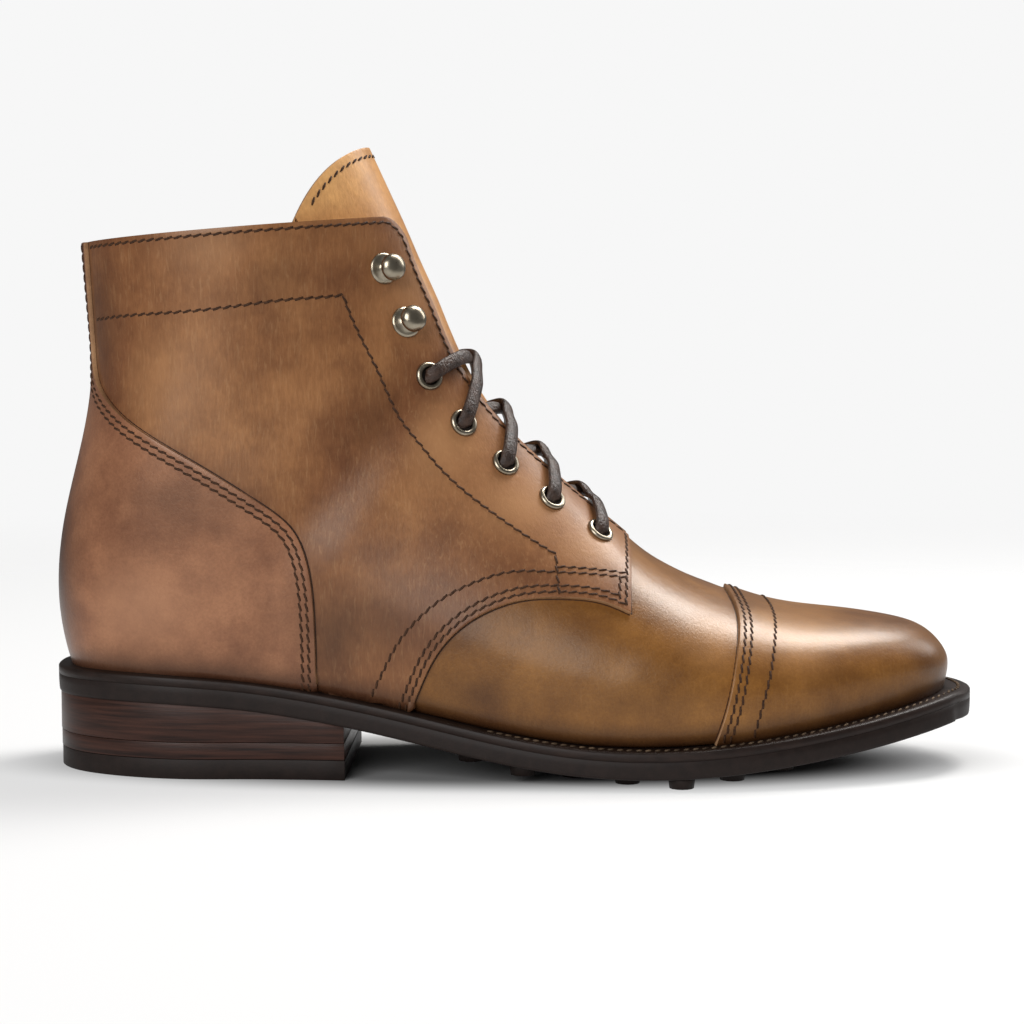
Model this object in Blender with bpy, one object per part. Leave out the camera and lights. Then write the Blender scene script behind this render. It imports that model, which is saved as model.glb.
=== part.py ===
"""Lace-up cap-toe boot for the right foot, built up as a bootmaker does.

Sole, welt, heel lifts and insole carry a hollow upper. Toe cap, quarters and heel counter lie on the upper,
the tongue lies under its throat, and eyelets, hooks and lace close it.
Lengths are in millimetres until they become mesh points. X runs from heel to toe, the outer side is at -Y.
"""

import math
from collections import namedtuple
from functools import lru_cache

import bmesh
import bpy
import numpy as np
from mathutils import Matrix, Vector

MM = 0.001
WELD = 0.001  # points closer than this are one

# Driving dimensions of the boot
GAP = 0.3  # air between pieces that meet
WALL = 2.0  # vamp and lining together
PANEL = 1.2  # toe cap, quarters and counter
TONGUE_THICK = 2.4
WELT_THICK = 3.0
SOLE_THICK = 9.2  # welt and outsole together
STUD_HEIGHT = 3.7
STUD_RADIUS = 4.6
STUD_PITCH = 17.0
HEEL_LENGTH = 99.0
TOP_LIFT_THICK = 6.5
LOWER_LIFT_THICK = 5.4
HEEL_TAPER = 0.9  # how far its sides draw in from the seat to the floor
HEEL_INSET = 0.6  # heel's edge inside the welt's, at its seat
HEEL_SEAT = 24.0  # height of the seat above the floor
INSOLE_THICK = 2.6
EYELET_PITCH = 19.3
EYELET_COUNT = 5
HOOK_COUNT = 2
EYELET_SETBACK = 13.6  # eyelet centre to the facing's edge
EYELET_HOLE = 3.0
EYELET_BARREL = 3.5
TONGUE_RISE = 26.6  # tongue tip above the collar, along the throat
TONGUE_ROUND = 51.3  # arc at which its rounded end would reach the collar
TONGUE_BEND = 2.2  # power of the curve of its rounded end
LACE_WIDTH = 4.6
LACE_THICK = 2.2

# The frame's origin: middle of the sole's box, on the floor
ORIGIN = Vector((154.6, -2.6, 0.0))

OUTER, INNER = -1, 1

# Height of the feather edge, where the upper meets the welt, along the sole
SoleRow = namedtuple("SoleRow", "x z")
SOLE_PROFILE = [
    SoleRow(0, 34.4),
    SoleRow(36, 34.3),
    SoleRow(64, 32.4),
    SoleRow(92, 28.4),
    SoleRow(120, 23.0),
    SoleRow(146, 17.6),
    SoleRow(172, 13.7),
    SoleRow(197, 12.5),
    SoleRow(222, 13.7),
    SoleRow(246, 16.5),
    SoleRow(268, 19.9),
    SoleRow(300, 26.1),
]

# Sections along the boot: each runs from the sole or the back seam up to the ridge at (top_x, top_z).
# wide_* is the greatest half width, wide_at how far up it lies, ridge_y how far the ridge leans to the
# inner side, crown and side how full the curve is above and below the greatest width.
Section = namedtuple("Section", "name top_x top_z wide_out wide_in wide_at ridge_y crown side")
SECTIONS = [
    Section("toe_tip", 300.4, 32.6, 0, 0, 0.42, 0.0, 2.20, 2.0),
    Section("toe_nose", 299.6, 37.2, 9.9, 10.2, 0.42, 0.2, 2.20, 2.0),
    Section("toe_round", 293.4, 44.0, 19.2, 20.4, 0.42, 0.5, 2.20, 2.0),
    Section("toe_front", 282.0, 47.7, 28.4, 30.8, 0.41, 1.0, 2.20, 2.0),
    Section("toe_cap", 264.5, 50.1, 38.2, 40.4, 0.39, 1.5, 2.15, 2.0),
    Section("cap_edge", 244.0, 52.7, 46.2, 46.6, 0.37, 2.0, 2.10, 2.0),
    Section("tread", 223.0, 59.4, 51.4, 48.2, 0.34, 2.5, 2.05, 2.0),
    Section("ball", 203.0, 68.5, 52.6, 46.0, 0.32, 3.0, 2.00, 2.0),
    Section("vamp_point", 189.0, 79.8, 50.6, 41.2, 0.30, 3.0, 1.85, 2.0),
    Section("waist_front", 174.5, 93.4, 46.6, 37.0, 0.29, 2.5, 1.75, 2.0),
    Section("waist", 161.0, 106.8, 42.6, 35.2, 0.30, 2.0, 1.75, 2.0),
    Section("breast", 150.4, 119.0, 39.4, 34.8, 0.32, 1.5, 1.75, 2.0),
    Section("ankle_front", 143.4, 129.4, 37.6, 34.8, 0.36, 1.0, 1.75, 2.1),
    Section("ankle", 138.8, 138.2, 36.8, 34.8, 0.40, 0.5, 1.75, 2.2),
    Section("heel_side", 135.6, 145.4, 36.4, 34.8, 0.43, 0.0, 1.75, 2.3),
    Section("heel_turn", 133.2, 151.2, 36.2, 34.8, 0.45, 0.0, 1.75, 2.35),
    Section("heel_back", 131.3, 156.0, 36.0, 34.8, 0.46, 0.0, 1.75, 2.4),
    Section("seam_low", 129.4, 160.4, 35.7, 34.6, 0.46, 0.0, 1.75, 2.35),
    Section("seam_heel", 127.4, 164.8, 35.3, 34.4, 0.46, 0.0, 1.75, 2.25),
    Section("seam_mid", 125.2, 169.6, 35.0, 34.4, 0.46, 0.0, 1.75, 2.15),
    Section("seam_ankle", 123.2, 174.2, 35.0, 34.6, 0.465, 0.0, 1.75, 2.05),
    Section("seam_top", 121.5, 178.2, 35.4, 35.0, 0.47, 0.0, 1.75, 2.0),
    Section("seam_cuff", 120.2, 181.2, 36.0, 35.6, 0.48, 0.0, 1.75, 2.0),
    Section("collar", 118.9, 184.2, 36.6, 36.2, 0.485, 0.0, 1.75, 2.0),
]

# Feather edge, where the sections of the forefoot and waist start on the sole
Feather = namedtuple("Feather", "x half_out half_in")
FEATHER = [
    Feather(299.0, 0, 0),
    Feather(297.4, 9.3, 9.6),
    Feather(291.6, 17.6, 18.8),
    Feather(281.0, 25.8, 28.2),
    Feather(264.0, 34.8, 37.2),
    Feather(243.0, 42.4, 43.0),
    Feather(220.0, 47.4, 44.6),
    Feather(196.0, 48.6, 42.0),
    Feather(172.0, 46.8, 36.4),
    Feather(146.0, 42.4, 30.0),
    Feather(118.0, 37.2, 26.6),
    Feather(90.0, 33.6, 27.4),
    Feather(66.0, 32.4, 29.4),
    Feather(48.0, 31.6, 30.0),
    Feather(33.0, 29.0, 28.2),
]

# Back seam, where the sections of the heel and shaft start. The first rows carry it on below the sole,
# where the sole cuts them off.
SEAM_FIRST = 12
Seam = namedtuple("Seam", "x z")
SEAM = [
    Seam(36.0, -4.0),
    Seam(24.0, 6.0),
    Seam(16.0, 16.0),
    Seam(11.0, 25.2),
    Seam(7.1, 34.4),
    Seam(4.1, 46.0),
    Seam(2.7, 61.0),
    Seam(4.6, 81.0),
    Seam(9.8, 103.5),
    Seam(14.3, 128.0),
    Seam(13.7, 152.0),
    Seam(11.9, 175.5),
]

TOE, HEEL, COLLAR = 0.0, 16.0, len(SECTIONS) - 1.0
HEEL_TURN = 15.0  # from here to HEEL the feather edge turns round the back of the heel
HEEL_ROWS = [HEEL - 0.5, HEEL - 0.2, HEEL - 0.05]
THROAT = 7.9  # station where the throat opens in the vamp
TONGUE_LEAN = Vector((-0.42, 0.0, 0.907))  # the way the throat runs on above the collar
WELT_CLEAR = 0.1
FEATHER_ROUND = 4.0  # the upper turns under the foot within this arc
FINE = 64  # points on the curve that a section is measured from


class Curve:
    """Natural cubic through rows of values at rising knots."""

    def __init__(self, knots, values):
        self.knots = np.asarray(knots, float)
        self.values = np.asarray(values, float)
        steps = np.diff(self.knots)
        count = len(self.knots)
        system = np.eye(count)
        right = np.zeros_like(self.values)
        for i in range(1, count - 1):
            system[i, i - 1 : i + 2] = steps[i - 1], 2 * (steps[i - 1] + steps[i]), steps[i]
            rise = (self.values[i + 1] - self.values[i]) / steps[i]
            fall = (self.values[i] - self.values[i - 1]) / steps[i - 1]
            right[i] = 6 * (rise - fall)
        self.bends = np.linalg.solve(system, right)

    def __call__(self, at):
        at = min(max(at, self.knots[0]), self.knots[-1])
        i = int(min(np.searchsorted(self.knots, at, "right") - 1, len(self.knots) - 2))
        step = self.knots[i + 1] - self.knots[i]
        far = (at - self.knots[i]) / step
        near = 1 - far
        bend = (near**3 - near) * self.bends[i] + (far**3 - far) * self.bends[i + 1]
        return near * self.values[i] + far * self.values[i + 1] + bend * step * step / 6


SECTION_CURVE = Curve(range(len(SECTIONS)), [row[1:] for row in SECTIONS])
FEATHER_CURVE = Curve(range(len(FEATHER)), FEATHER)
SEAM_CURVE = Curve([SEAM_FIRST + i for i in range(len(SEAM))], SEAM)
SOLE_CURVE = Curve([row.x for row in SOLE_PROFILE], [row.z for row in SOLE_PROFILE])
SOLE_XS = np.arange(0, 301, 3)
SOLE_ZS = np.array([SOLE_CURVE(x) for x in SOLE_XS])


# Reading the last: a station along the boot and a share of the way up its section give a point


def half_curve(low, foot, row, side):
    """Half section from a low (x, z) point, where it is foot wide, to the ridge of a section row."""
    top_x, top_z, wide_out, wide_in, wide_at, ridge_y, crown, fullness = row
    wide = wide_out if side == OUTER else wide_in
    turn = np.linspace(0, math.pi / 2, FINE)
    up_low = wide_at * (1 - np.cos(turn) ** (2 / fullness))
    out_low = foot + (wide - foot) * np.sin(turn) ** (2 / fullness)
    up_high = wide_at + (1 - wide_at) * np.sin(turn) ** (2 / crown)
    out_high = wide * np.cos(turn) ** (2 / crown)
    up = np.concatenate([up_low, up_high[1:]])
    out = np.concatenate([out_low, out_high[1:]])
    x = low[0] + (top_x - low[0]) * up
    z = low[1] + (top_z - low[1]) * up
    return np.stack([x, side * out + ridge_y * up, z], 1)


def trimmed(points):
    """The part of a half section that stands above the sole."""
    above = points[:, 2] - np.interp(points[:, 0], SOLE_XS, SOLE_ZS)
    first = int(np.argmax(above > 0))
    if first == 0:
        return points
    share = above[first - 1] / (above[first - 1] - above[first])
    start = points[first - 1] + (points[first] - points[first - 1]) * share
    return np.vstack([start, points[first:]])


def even_points(points):
    """The curve again, by points at an even arc length."""
    run = np.concatenate([[0], np.cumsum(np.linalg.norm(np.diff(points, axis=0), axis=1))])
    at = np.linspace(0, run[-1], 3 * FINE)
    return np.stack([np.interp(at, run, points[:, k]) for k in range(3)], 1)


@lru_cache(maxsize=None)
def section(station, side):
    """Points of one half section from the sole or back seam to the ridge, and the run of arc length.
    Between waist and heel the two kinds of section pass smoothly into each other."""
    row = SECTION_CURVE(station)
    ease = min(max((station - SEAM_FIRST) / 2, 0), 1)
    heel_part = ease * ease * (3 - 2 * ease)
    points = 0
    if heel_part < 1:
        x, half_out, half_in = FEATHER_CURVE(station)
        foot = half_out if side == OUTER else half_in
        points = (1 - heel_part) * even_points(half_curve((x, SOLE_CURVE(x)), foot, row, side))
    if heel_part > 0:
        curve = half_curve(SEAM_CURVE(station), 0.0, row, side)
        curve = trimmed(curve) if station < HEEL else curve
        points = points + heel_part * even_points(curve)
    run = np.concatenate([[0], np.cumsum(np.linalg.norm(np.diff(points, axis=0), axis=1))])
    return points, run


def girth(station, side):
    """Length of a half section in millimetres."""
    return section(min(station, COLLAR), side)[1][-1]


def last_point(station, share, side):
    """Point of the upper's outer face. Above the collar the throat's line carries straight on."""
    points, run = section(round(min(max(station, TOE), COLLAR), 5), side)
    length = share * run[-1]
    place = Vector([np.interp(length, run, points[:, k]) for k in range(3)])
    return place + TONGUE_LEAN * max(0.0, station - COLLAR)


def last_normal(station, share, side):
    """Outward direction of the upper's outer face. At the feather edge it is taken a little higher up."""
    ds, dt = 0.02, 0.004
    if station < HEEL:
        share = max(share, FEATHER_ROUND / girth(station, side))
    if share + dt > 1 or share - dt < 0:
        dt_low, dt_high = (0, dt) if share - dt < 0 else (dt, 0)
    else:
        dt_low, dt_high = dt, dt
    ds_low = 0 if station - ds < TOE or HEEL <= station < HEEL + ds else ds
    along = last_point(station + ds, share, side) - last_point(station - ds_low, share, side)
    around = last_point(station, share + dt_high, side) - last_point(station, share - dt_low, side)
    if share > 0.999 or (share < 0.001 and station >= HEEL):
        around = Vector((0, -side if share > 0.5 else side, 0))
    if station < 0.001:
        along = Vector((0, side, 0))
    return (along.cross(around) * side).normalized()


def lifted(station, share, side, height):
    """Point at a height above the upper's outer face, kept just clear of the welt."""
    place = last_point(station, share, side) + last_normal(station, share, side) * height
    place.z = max(place.z, SOLE_CURVE(place.x) + WELT_CLEAR)
    return place


def share_from_ridge(station, side, arc):
    """Share up a section of the point that lies an arc length from the ridge."""
    return 1 - arc / girth(station, side)


# Turning points into closed solids


def clear_scene():
    for obj in list(bpy.data.objects):
        bpy.data.objects.remove(obj)


MATERIALS = {
    "brown_leather": ((0.23, 0.12, 0.055), 0.38, 0.0),
    "lining_leather": ((0.42, 0.27, 0.15), 0.6, 0.0),
    "dark_edge": ((0.035, 0.02, 0.016), 0.4, 0.0),
    "stacked_leather": ((0.05, 0.027, 0.02), 0.35, 0.0),
    "sole_rubber": ((0.025, 0.018, 0.016), 0.6, 0.0),
    "antique_nickel": ((0.5, 0.46, 0.4), 0.3, 1.0),
    "waxed_cotton": ((0.045, 0.025, 0.018), 0.45, 0.0),
}


def material(name):
    """The named finish as a Principled BSDF, made once."""
    made = bpy.data.materials.get(name)
    if made is None:
        colour, roughness, metallic = MATERIALS[name]
        made = bpy.data.materials.new(name)
        made.use_nodes = True
        shader = made.node_tree.nodes["Principled BSDF"]
        shader.inputs["Base Color"].default_value = (*colour, 1)
        shader.inputs["Roughness"].default_value = roughness
        shader.inputs["Metallic"].default_value = metallic
    return made


def add_piece(name, shape, finish):
    """Puts a bmesh in millimetres into the scene as one named piece, in metres about the origin."""
    bmesh.ops.recalc_face_normals(shape, faces=shape.faces)
    if shape.calc_volume(signed=True) < 0:
        bmesh.ops.reverse_faces(shape, faces=shape.faces)
    shape.transform(Matrix.Scale(MM, 4) @ Matrix.Translation(-ORIGIN))
    mesh = bpy.data.meshes.new(name)
    shape.to_mesh(mesh)
    shape.free()
    mesh.shade_smooth()
    mesh.set_sharp_from_angle(angle=math.radians(40))
    mesh.materials.append(material(finish))
    piece = bpy.data.objects.new(name, mesh)
    bpy.context.scene.collection.objects.link(piece)
    return piece


def thick_sheet(grids, keep=lambda i, j: True):
    """Closed solid from sheets of (station, row) pairs, each row being (point, thickness vector) pairs from
    its low share to its high. Round the heel's turn the quads are split the other way, across the shorter
    diagonal. Doubled points are welded, then the sheet is extruded by each point's thickness vector."""
    shape = bmesh.new()
    layer = shape.verts.layers.float_vector.new("push")
    for rows in grids:
        grid = []
        for _, row in rows:
            grid.append([shape.verts.new(point) for point, _ in row])
            for vert, (_, push) in zip(grid[-1], row):
                vert[layer] = push
        for i in range(len(grid) - 1):
            for j in range(len(grid[0]) - 1):
                low, high = grid[i][j : j + 2], grid[i + 1][j : j + 2]
                if not keep(i, j):
                    continue
                if HEEL_TURN < rows[i][0] < HEEL:
                    shape.faces.new([low[0], low[1], high[1]])
                    shape.faces.new([low[0], high[1], high[0]])
                else:
                    shape.faces.new([low[0], low[1], high[0]])
                    shape.faces.new([low[1], high[1], high[0]])
    loose = [vert for vert in shape.verts if not vert.link_faces]
    bmesh.ops.delete(shape, geom=loose, context="VERTS")
    bmesh.ops.remove_doubles(shape, verts=shape.verts, dist=WELD)
    made = bmesh.ops.extrude_face_region(shape, geom=shape.faces[:])
    for vert in made["geom"]:
        if isinstance(vert, bmesh.types.BMVert):
            vert.co += vert[layer]
    return shape


def layer_grid(places, side, height, thick):
    """Grid for thick_sheet: each (station, share) at a height over the upper, thickened by thick."""
    rows = []
    for line in places:
        row = []
        for station, share in line:
            start = lifted(station, share, side, height)
            row.append((start, lifted(station, share, side, height + thick) - start))
        rows.append((line[0][0], row))
    return rows


def hide(helper):
    """Marks a Boolean's helper, which is no piece of the boot."""
    helper.hide_render = True
    helper.display_type = "WIRE"
    return helper


def join(piece, helper, operation):
    """A live Boolean with the exact solver."""
    cut = piece.modifiers.new(helper.name, "BOOLEAN")
    cut.operation = operation
    cut.object = helper
    return piece


# The upper: one hollow wall, open at collar, throat and underneath

GapRow = namedtuple("GapRow", "station arc")
FACING_GAP = [
    GapRow(0, 6.0),
    GapRow(7.6, 7.2),
    GapRow(8.7, 8.4),
    GapRow(10, 9.6),
    GapRow(12, 10.8),
    GapRow(20, 11.2),
    GapRow(23, 12.6),
]
FACING_CURVE = Curve([row.station for row in FACING_GAP], [row.arc for row in FACING_GAP])
FACING_TUCK = 1.0  # the upper's throat edge stays this far behind the quarter's edge
WIDEST_CENTRE = 0.13  # share of a small toe section that lies between the facing lines

# Stations and shares where every layer has its points, so that the layers' facets lie parallel
TOE_ROWS = 9
STATIONS = [TOE + (THROAT - TOE) * i / TOE_ROWS for i in range(TOE_ROWS)]
STATIONS += [THROAT + (HEEL - THROAT) * i / 9 for i in range(9)]
STATIONS += HEEL_ROWS
STATIONS += [HEEL + (COLLAR - HEEL) * i / 6 for i in range(7)]
SHARES = [0.05, 0.12, 0.22, 0.35, 0.50, 0.66, 0.82]


def facing_share(station, side, tuck=FACING_TUCK):
    """Share of the throat's edge, by default that of the upper, which the facing overhangs."""
    arc = FACING_CURVE(station) + tuck
    return 1 - min(arc / girth(station, side), WIDEST_CENTRE)


def make_upper():
    halves = []
    for side in (OUTER, INNER):
        places = []
        for station in STATIONS:
            shares = [0.0] + SHARES + [facing_share(station, side), 1.0]
            places.append([(station, share) for share in shares])
        halves.append(layer_grid(places, side, 0.0, -WALL))
    throat_row = STATIONS.index(THROAT)
    centre = len(SHARES) + 1
    shape = thick_sheet(halves, lambda i, j: i < throat_row or j < centre)
    return add_piece("upper", shape, "brown_leather")


# Panels laid over the upper: larger forms from the upper's own function, cut off along their edges

EdgePoint = namedtuple("EdgePoint", "x z")
CAP_EDGE = [
    EdgePoint(224.6, 80),
    EdgePoint(225.4, 62),
    EdgePoint(227.6, 54),
    EdgePoint(227.0, 46),
    EdgePoint(225.1, 37),
    EdgePoint(222.4, 25),
    EdgePoint(219.2, 15),
    EdgePoint(216.0, 5),
]
FACING_FRONT = [EdgePoint(193.4, 140), EdgePoint(192.4, 76), EdgePoint(192.0, 57.6)]
QUARTER_FOOT = [
    EdgePoint(191.4, 57.2),
    EdgePoint(182.0, 59.2),
    EdgePoint(169.0, 60.5),
    EdgePoint(156.0, 59.4),
    EdgePoint(143.2, 54.9),
    EdgePoint(133.5, 47.5),
    EdgePoint(127.0, 38.6),
    EdgePoint(122.7, 28.6),
    EdgePoint(120.0, 15.0),
]
COUNTER_EDGE = [
    EdgePoint(89.8, 20),
    EdgePoint(89.8, 37),
    EdgePoint(89.3, 53),
    EdgePoint(87.5, 69),
    EdgePoint(82.0, 81.7),
    EdgePoint(70.4, 91.3),
    EdgePoint(51.0, 103.4),
    EdgePoint(30.7, 115.4),
    EdgePoint(20.5, 124.5),
    EdgePoint(16.2, 134),
    EdgePoint(14.8, 156),
    EdgePoint(13.4, 190),
]
EDGE_STEPS = 2  # straight pieces between two points of an edge
CUT_HALF = 80.0
FOOT_TRIM = 2.2
COUNTER_FIRST = 10.0  # station ahead of the counter
FOOT_CLEAR = 1.0  # panels stop this far up from the feather edge
SEAM_CLEAR = 0.3  # and this far from the back seam where two of them meet


def smooth_edge(points):
    """Points along a smooth curve through an edge's points."""
    curve = Curve(range(len(points)), points)
    count = (len(points) - 1) * EDGE_STEPS
    return [tuple(curve(i / EDGE_STEPS)) for i in range(count + 1)]


def side_cutter(name, outline):
    """Helper with a side view outline, right through the boot."""
    shape = bmesh.new()
    face = shape.faces.new([shape.verts.new((x, -CUT_HALF, z)) for x, z in outline])
    made = bmesh.ops.extrude_face_region(shape, geom=[face])
    verts = [item for item in made["geom"] if isinstance(item, bmesh.types.BMVert)]
    bmesh.ops.translate(shape, verts=verts, vec=(0, 2 * CUT_HALF, 0))
    return hide(add_piece(name, shape, "brown_leather"))


def low_share(station, side, seam):
    """Lowest share of a panel: clear of the feather edge, or of the back seam."""
    clear = np.interp(station, [HEEL - 1, HEEL], [FOOT_CLEAR, seam])
    return min(float(clear) / girth(station, side), SHARES[0] / 2)


def panel_grid(side, rows, highest, seam, height):
    """Grid of a panel over the given stations, up to the highest share of each."""
    places = []
    for station in rows:
        shares = [low_share(station, side, seam)] + SHARES + highest(station)
        places.append([(station, share) for share in shares])
    return layer_grid(places, side, height, PANEL)


def make_toe_cap():
    rows = [station for station in STATIONS if station < THROAT]
    grids = []
    for side in (OUTER, INNER):
        grids.append(panel_grid(side, rows, lambda s: [facing_share(s, side), 1.0], 0, GAP))
    cap = add_piece("toe_cap", thick_sheet(grids), "brown_leather")
    front = [(330, 5), (330, 80)]
    return join(cap, side_cutter("cap_cutter", smooth_edge(CAP_EDGE) + front), "INTERSECT")


def quarter_cutter():
    """Everything in front of the facings and below the quarters' lower edge."""
    edge = smooth_edge(FACING_FRONT) + smooth_edge(QUARTER_FOOT)
    return side_cutter("quarter_cutter", edge + [(120, 0), (330, 0), (330, 140)])


def foot_cutter():
    """Everything under the line along which the rear panels are trimmed above the welt."""
    line = [(x, SOLE_CURVE(x) + FOOT_TRIM) for x in range(-20, 180, 10)]
    return side_cutter("foot_cutter", line + [(170, 0), (-20, 0)])


def make_quarter(name, side, cutter):
    rows = [station for station in STATIONS if station > THROAT - 1]

    def highest(station):
        return [facing_share(station, side), facing_share(station, side, 0.0)]

    grid = panel_grid(side, rows, highest, SEAM_CLEAR, GAP)
    quarter = add_piece(name, thick_sheet([grid]), "brown_leather")
    return join(quarter, cutter, "DIFFERENCE")


def make_counter():
    rows = [station for station in STATIONS if station > COUNTER_FIRST]
    grids = []
    for side in (OUTER, INNER):
        grids.append(panel_grid(side, rows, lambda s: [], 0, 2 * GAP + PANEL))
    counter = add_piece("heel_counter", thick_sheet(grids), "brown_leather")
    back = [(-30, 190), (-30, 20)]
    return join(counter, side_cutter("counter_cutter", smooth_edge(COUNTER_EDGE) + back), "INTERSECT")


# The tongue lies under the upper, shows in the throat and rises above the collar

TONGUE_START = STATIONS[TOE_ROWS - 1]
TONGUE_EDGE = 0.66  # share of its side edges


def tongue_top(arc):
    """Height of the tongue's rounded end above the collar at an arc from its middle."""
    return TONGUE_RISE * (1 - (arc / TONGUE_ROUND) ** TONGUE_BEND)


def make_tongue():
    rows = [station for station in STATIONS if station >= TONGUE_START]
    heights = [TONGUE_RISE / 3, TONGUE_RISE * 2 / 3, TONGUE_RISE]
    halves = []
    for side in (OUTER, INNER):
        places = []
        for station in rows + [COLLAR + height for height in heights]:
            below = min(station, COLLAR)
            shares = [share for share in SHARES if share >= TONGUE_EDGE]
            shares += [facing_share(below, side), 1.0]
            tops = [COLLAR + tongue_top((1 - share) * girth(COLLAR, side)) for share in shares]
            places.append([(min(station, top), share) for top, share in zip(tops, shares)])
        halves.append(layer_grid(places, side, -WALL - GAP, -TONGUE_THICK))
    return add_piece("tongue", thick_sheet(halves), "lining_leather")


# Sole unit: every layer is an outline offset from the feather edge, laid at a depth below it

MarginRow = namedtuple("MarginRow", "station outer inner")
WELT_MARGIN = [
    MarginRow(0, 10.6, 10.6),
    MarginRow(3, 10.0, 9.6),
    MarginRow(7, 8.6, 7.6),
    MarginRow(10, 7.0, 5.2),
    MarginRow(13, 6.6, 6.2),
    MarginRow(16, 7.6, 7.6),
]
MARGIN_CURVE = Curve(
    [row.station for row in WELT_MARGIN], [[row.outer, row.inner] for row in WELT_MARGIN]
)
OUTLINE_STEPS = 20


def feather_plan(station, side):
    """Plan point where the upper meets the sole."""
    return last_point(station, 0.0, side).to_2d()


def plan_point(station, side, spread):
    """Plan point beside the feather edge: spread 1 is the sole's edge, 0 the feather edge, a number of
    millimetres below zero lies inside it."""
    step = min(0.05, max(HEEL - station, 0) / 3)
    low, high = max(station - step, TOE), station + step
    along = feather_plan(high, side) - feather_plan(low, side)
    if low == TOE and station == TOE or station == HEEL:
        along = Vector((0, -side if station == HEEL else side))
    outward = Vector((along.y, -along.x)).normalized() * side
    margin = MARGIN_CURVE(station)[0 if side == OUTER else 1]
    reach = margin * spread if spread > 0 else spread
    return feather_plan(station, side) + outward * reach


def sole_place(plan, depth):
    """Point below the feather profile, square to the sole so that its edge follows the toe spring."""
    step = 1.0
    slope = (SOLE_CURVE(plan.x + step) - SOLE_CURVE(plan.x - step)) / (2 * step)
    square = math.hypot(1, slope)
    return Vector((plan.x + depth * slope / square, plan.y, SOLE_CURVE(plan.x) - depth / square))


def outline_stations(first, steps):
    """Stations from first to the heel's back, closer together round its turn."""
    return list(np.linspace(first, HEEL_TURN, steps + 1)) + HEEL_ROWS + [HEEL]


def outline_rows(spreads, depth, stations):
    """Points across one layer at each station: in from the outer edge, then out to the inner edge."""
    rows = []
    for station in stations:
        row = [sole_place(plan_point(station, OUTER, spread), depth) for spread in spreads]
        row += [sole_place(plan_point(station, INNER, spread), depth) for spread in spreads[::-1]]
        rows.append(row)
    return rows


def slab(top_rows, bottom_rows):
    """Closed solid between two layers of points across the boot, row by row from front to back."""
    shape = bmesh.new()
    layers = []
    for rows in (top_rows, bottom_rows):
        layers.append([[shape.verts.new(point) for point in row] for row in rows])
    top, bottom = layers
    last = len(top) - 1
    columns = len(top[0])
    for i in range(last):
        for layer in layers:
            for j in range(columns - 1):
                shape.faces.new([layer[i][j], layer[i][j + 1], layer[i + 1][j + 1], layer[i + 1][j]])
        for j in (0, columns - 1):
            shape.faces.new([top[i][j], top[i + 1][j], bottom[i + 1][j], bottom[i][j]])
    for i in (0, last):
        if (top[i][0].co - top[i][-1].co).length > WELD:
            shape.faces.new(top[i] + bottom[i][::-1])
    bmesh.ops.remove_doubles(shape, verts=shape.verts, dist=WELD)
    return shape


def ring(loops):
    """Closed ring of rectangular section through four closed loops of points."""
    shape = bmesh.new()
    made = [[shape.verts.new(point) for point in loop] for loop in loops]
    count = len(made[0])
    for first, second in zip(made, made[1:] + made[:1]):
        for i in range(count):
            n = (i + 1) % count
            shape.faces.new([first[i], first[n], second[n], second[i]])
    return shape


def round_loop(spread, depth, stations):
    """One closed loop: outer edge from toe to heel, then the inner edge back to the toe."""
    out = [sole_place(plan_point(s, OUTER, spread), depth) for s in stations]
    back = [sole_place(plan_point(s, INNER, spread), depth) for s in stations[1:-1]]
    return out + back[::-1]


INSOLE_INSET = 2.6
WELT_INSET = 6.0


def make_welt():
    stations = outline_stations(TOE, OUTLINE_STEPS)
    top, bottom = GAP, GAP + WELT_THICK
    loops = [
        round_loop(1.0, top, stations),
        round_loop(1.0, bottom, stations),
        round_loop(-WELT_INSET, bottom, stations),
        round_loop(-WELT_INSET, top, stations),
    ]
    return add_piece("welt", ring(loops), "dark_edge")


def make_insole():
    stations = outline_stations(0.6, 14)
    top = outline_rows([-INSOLE_INSET, -WELT_INSET], -INSOLE_THICK, stations)
    bottom = outline_rows([-INSOLE_INSET - 0.4, -WELT_INSET], 0.0, stations)
    return add_piece("insole", slab(top, bottom), "lining_leather")


def stud_places():
    """Plan places of the tread studs under the forefoot, in staggered rows clear of the edge."""
    places = []
    for row in range(9):
        x = 140 + row * STUD_PITCH
        for column in range(-4, 5):
            y = (column + 0.5 * (row % 2)) * STUD_PITCH
            if stud_fits(x, y):
                places.append((x, y))
    return places


def stud_fits(x, y):
    """Whether a stud lies inside the sole's edge with a border round it."""
    border = STUD_RADIUS + 1.6
    station = station_at(x)
    reach = plan_point(station, OUTER if y < 0 else INNER, 1.0)
    return abs(y) < abs(reach.y) - border and x < 296


def station_at(x):
    """Station whose feather edge lies at x."""
    low, high = TOE, HEEL
    for _ in range(40):
        middle = (low + high) / 2
        low, high = (middle, high) if feather_plan(middle, OUTER).x > x else (low, middle)
    return low


def make_studs():
    """All the studs as one helper mesh: each stands on the floor, or follows the toe spring above it."""
    shape = bmesh.new()
    for x, y in stud_places():
        sole_z = sole_place(Vector((x, y)), SOLE_THICK).z
        foot_z = max(0.0, sole_z - STUD_HEIGHT)
        top_z = sole_z + 1.5
        made = bmesh.ops.create_cone(
            shape,
            cap_ends=True,
            segments=6,
            radius1=STUD_RADIUS - 0.6,
            radius2=STUD_RADIUS,
            depth=top_z - foot_z,
        )
        bmesh.ops.translate(shape, verts=made["verts"], vec=(x, y, (top_z + foot_z) / 2))
    return hide(add_piece("stud_helper", shape, "sole_rubber"))


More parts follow.
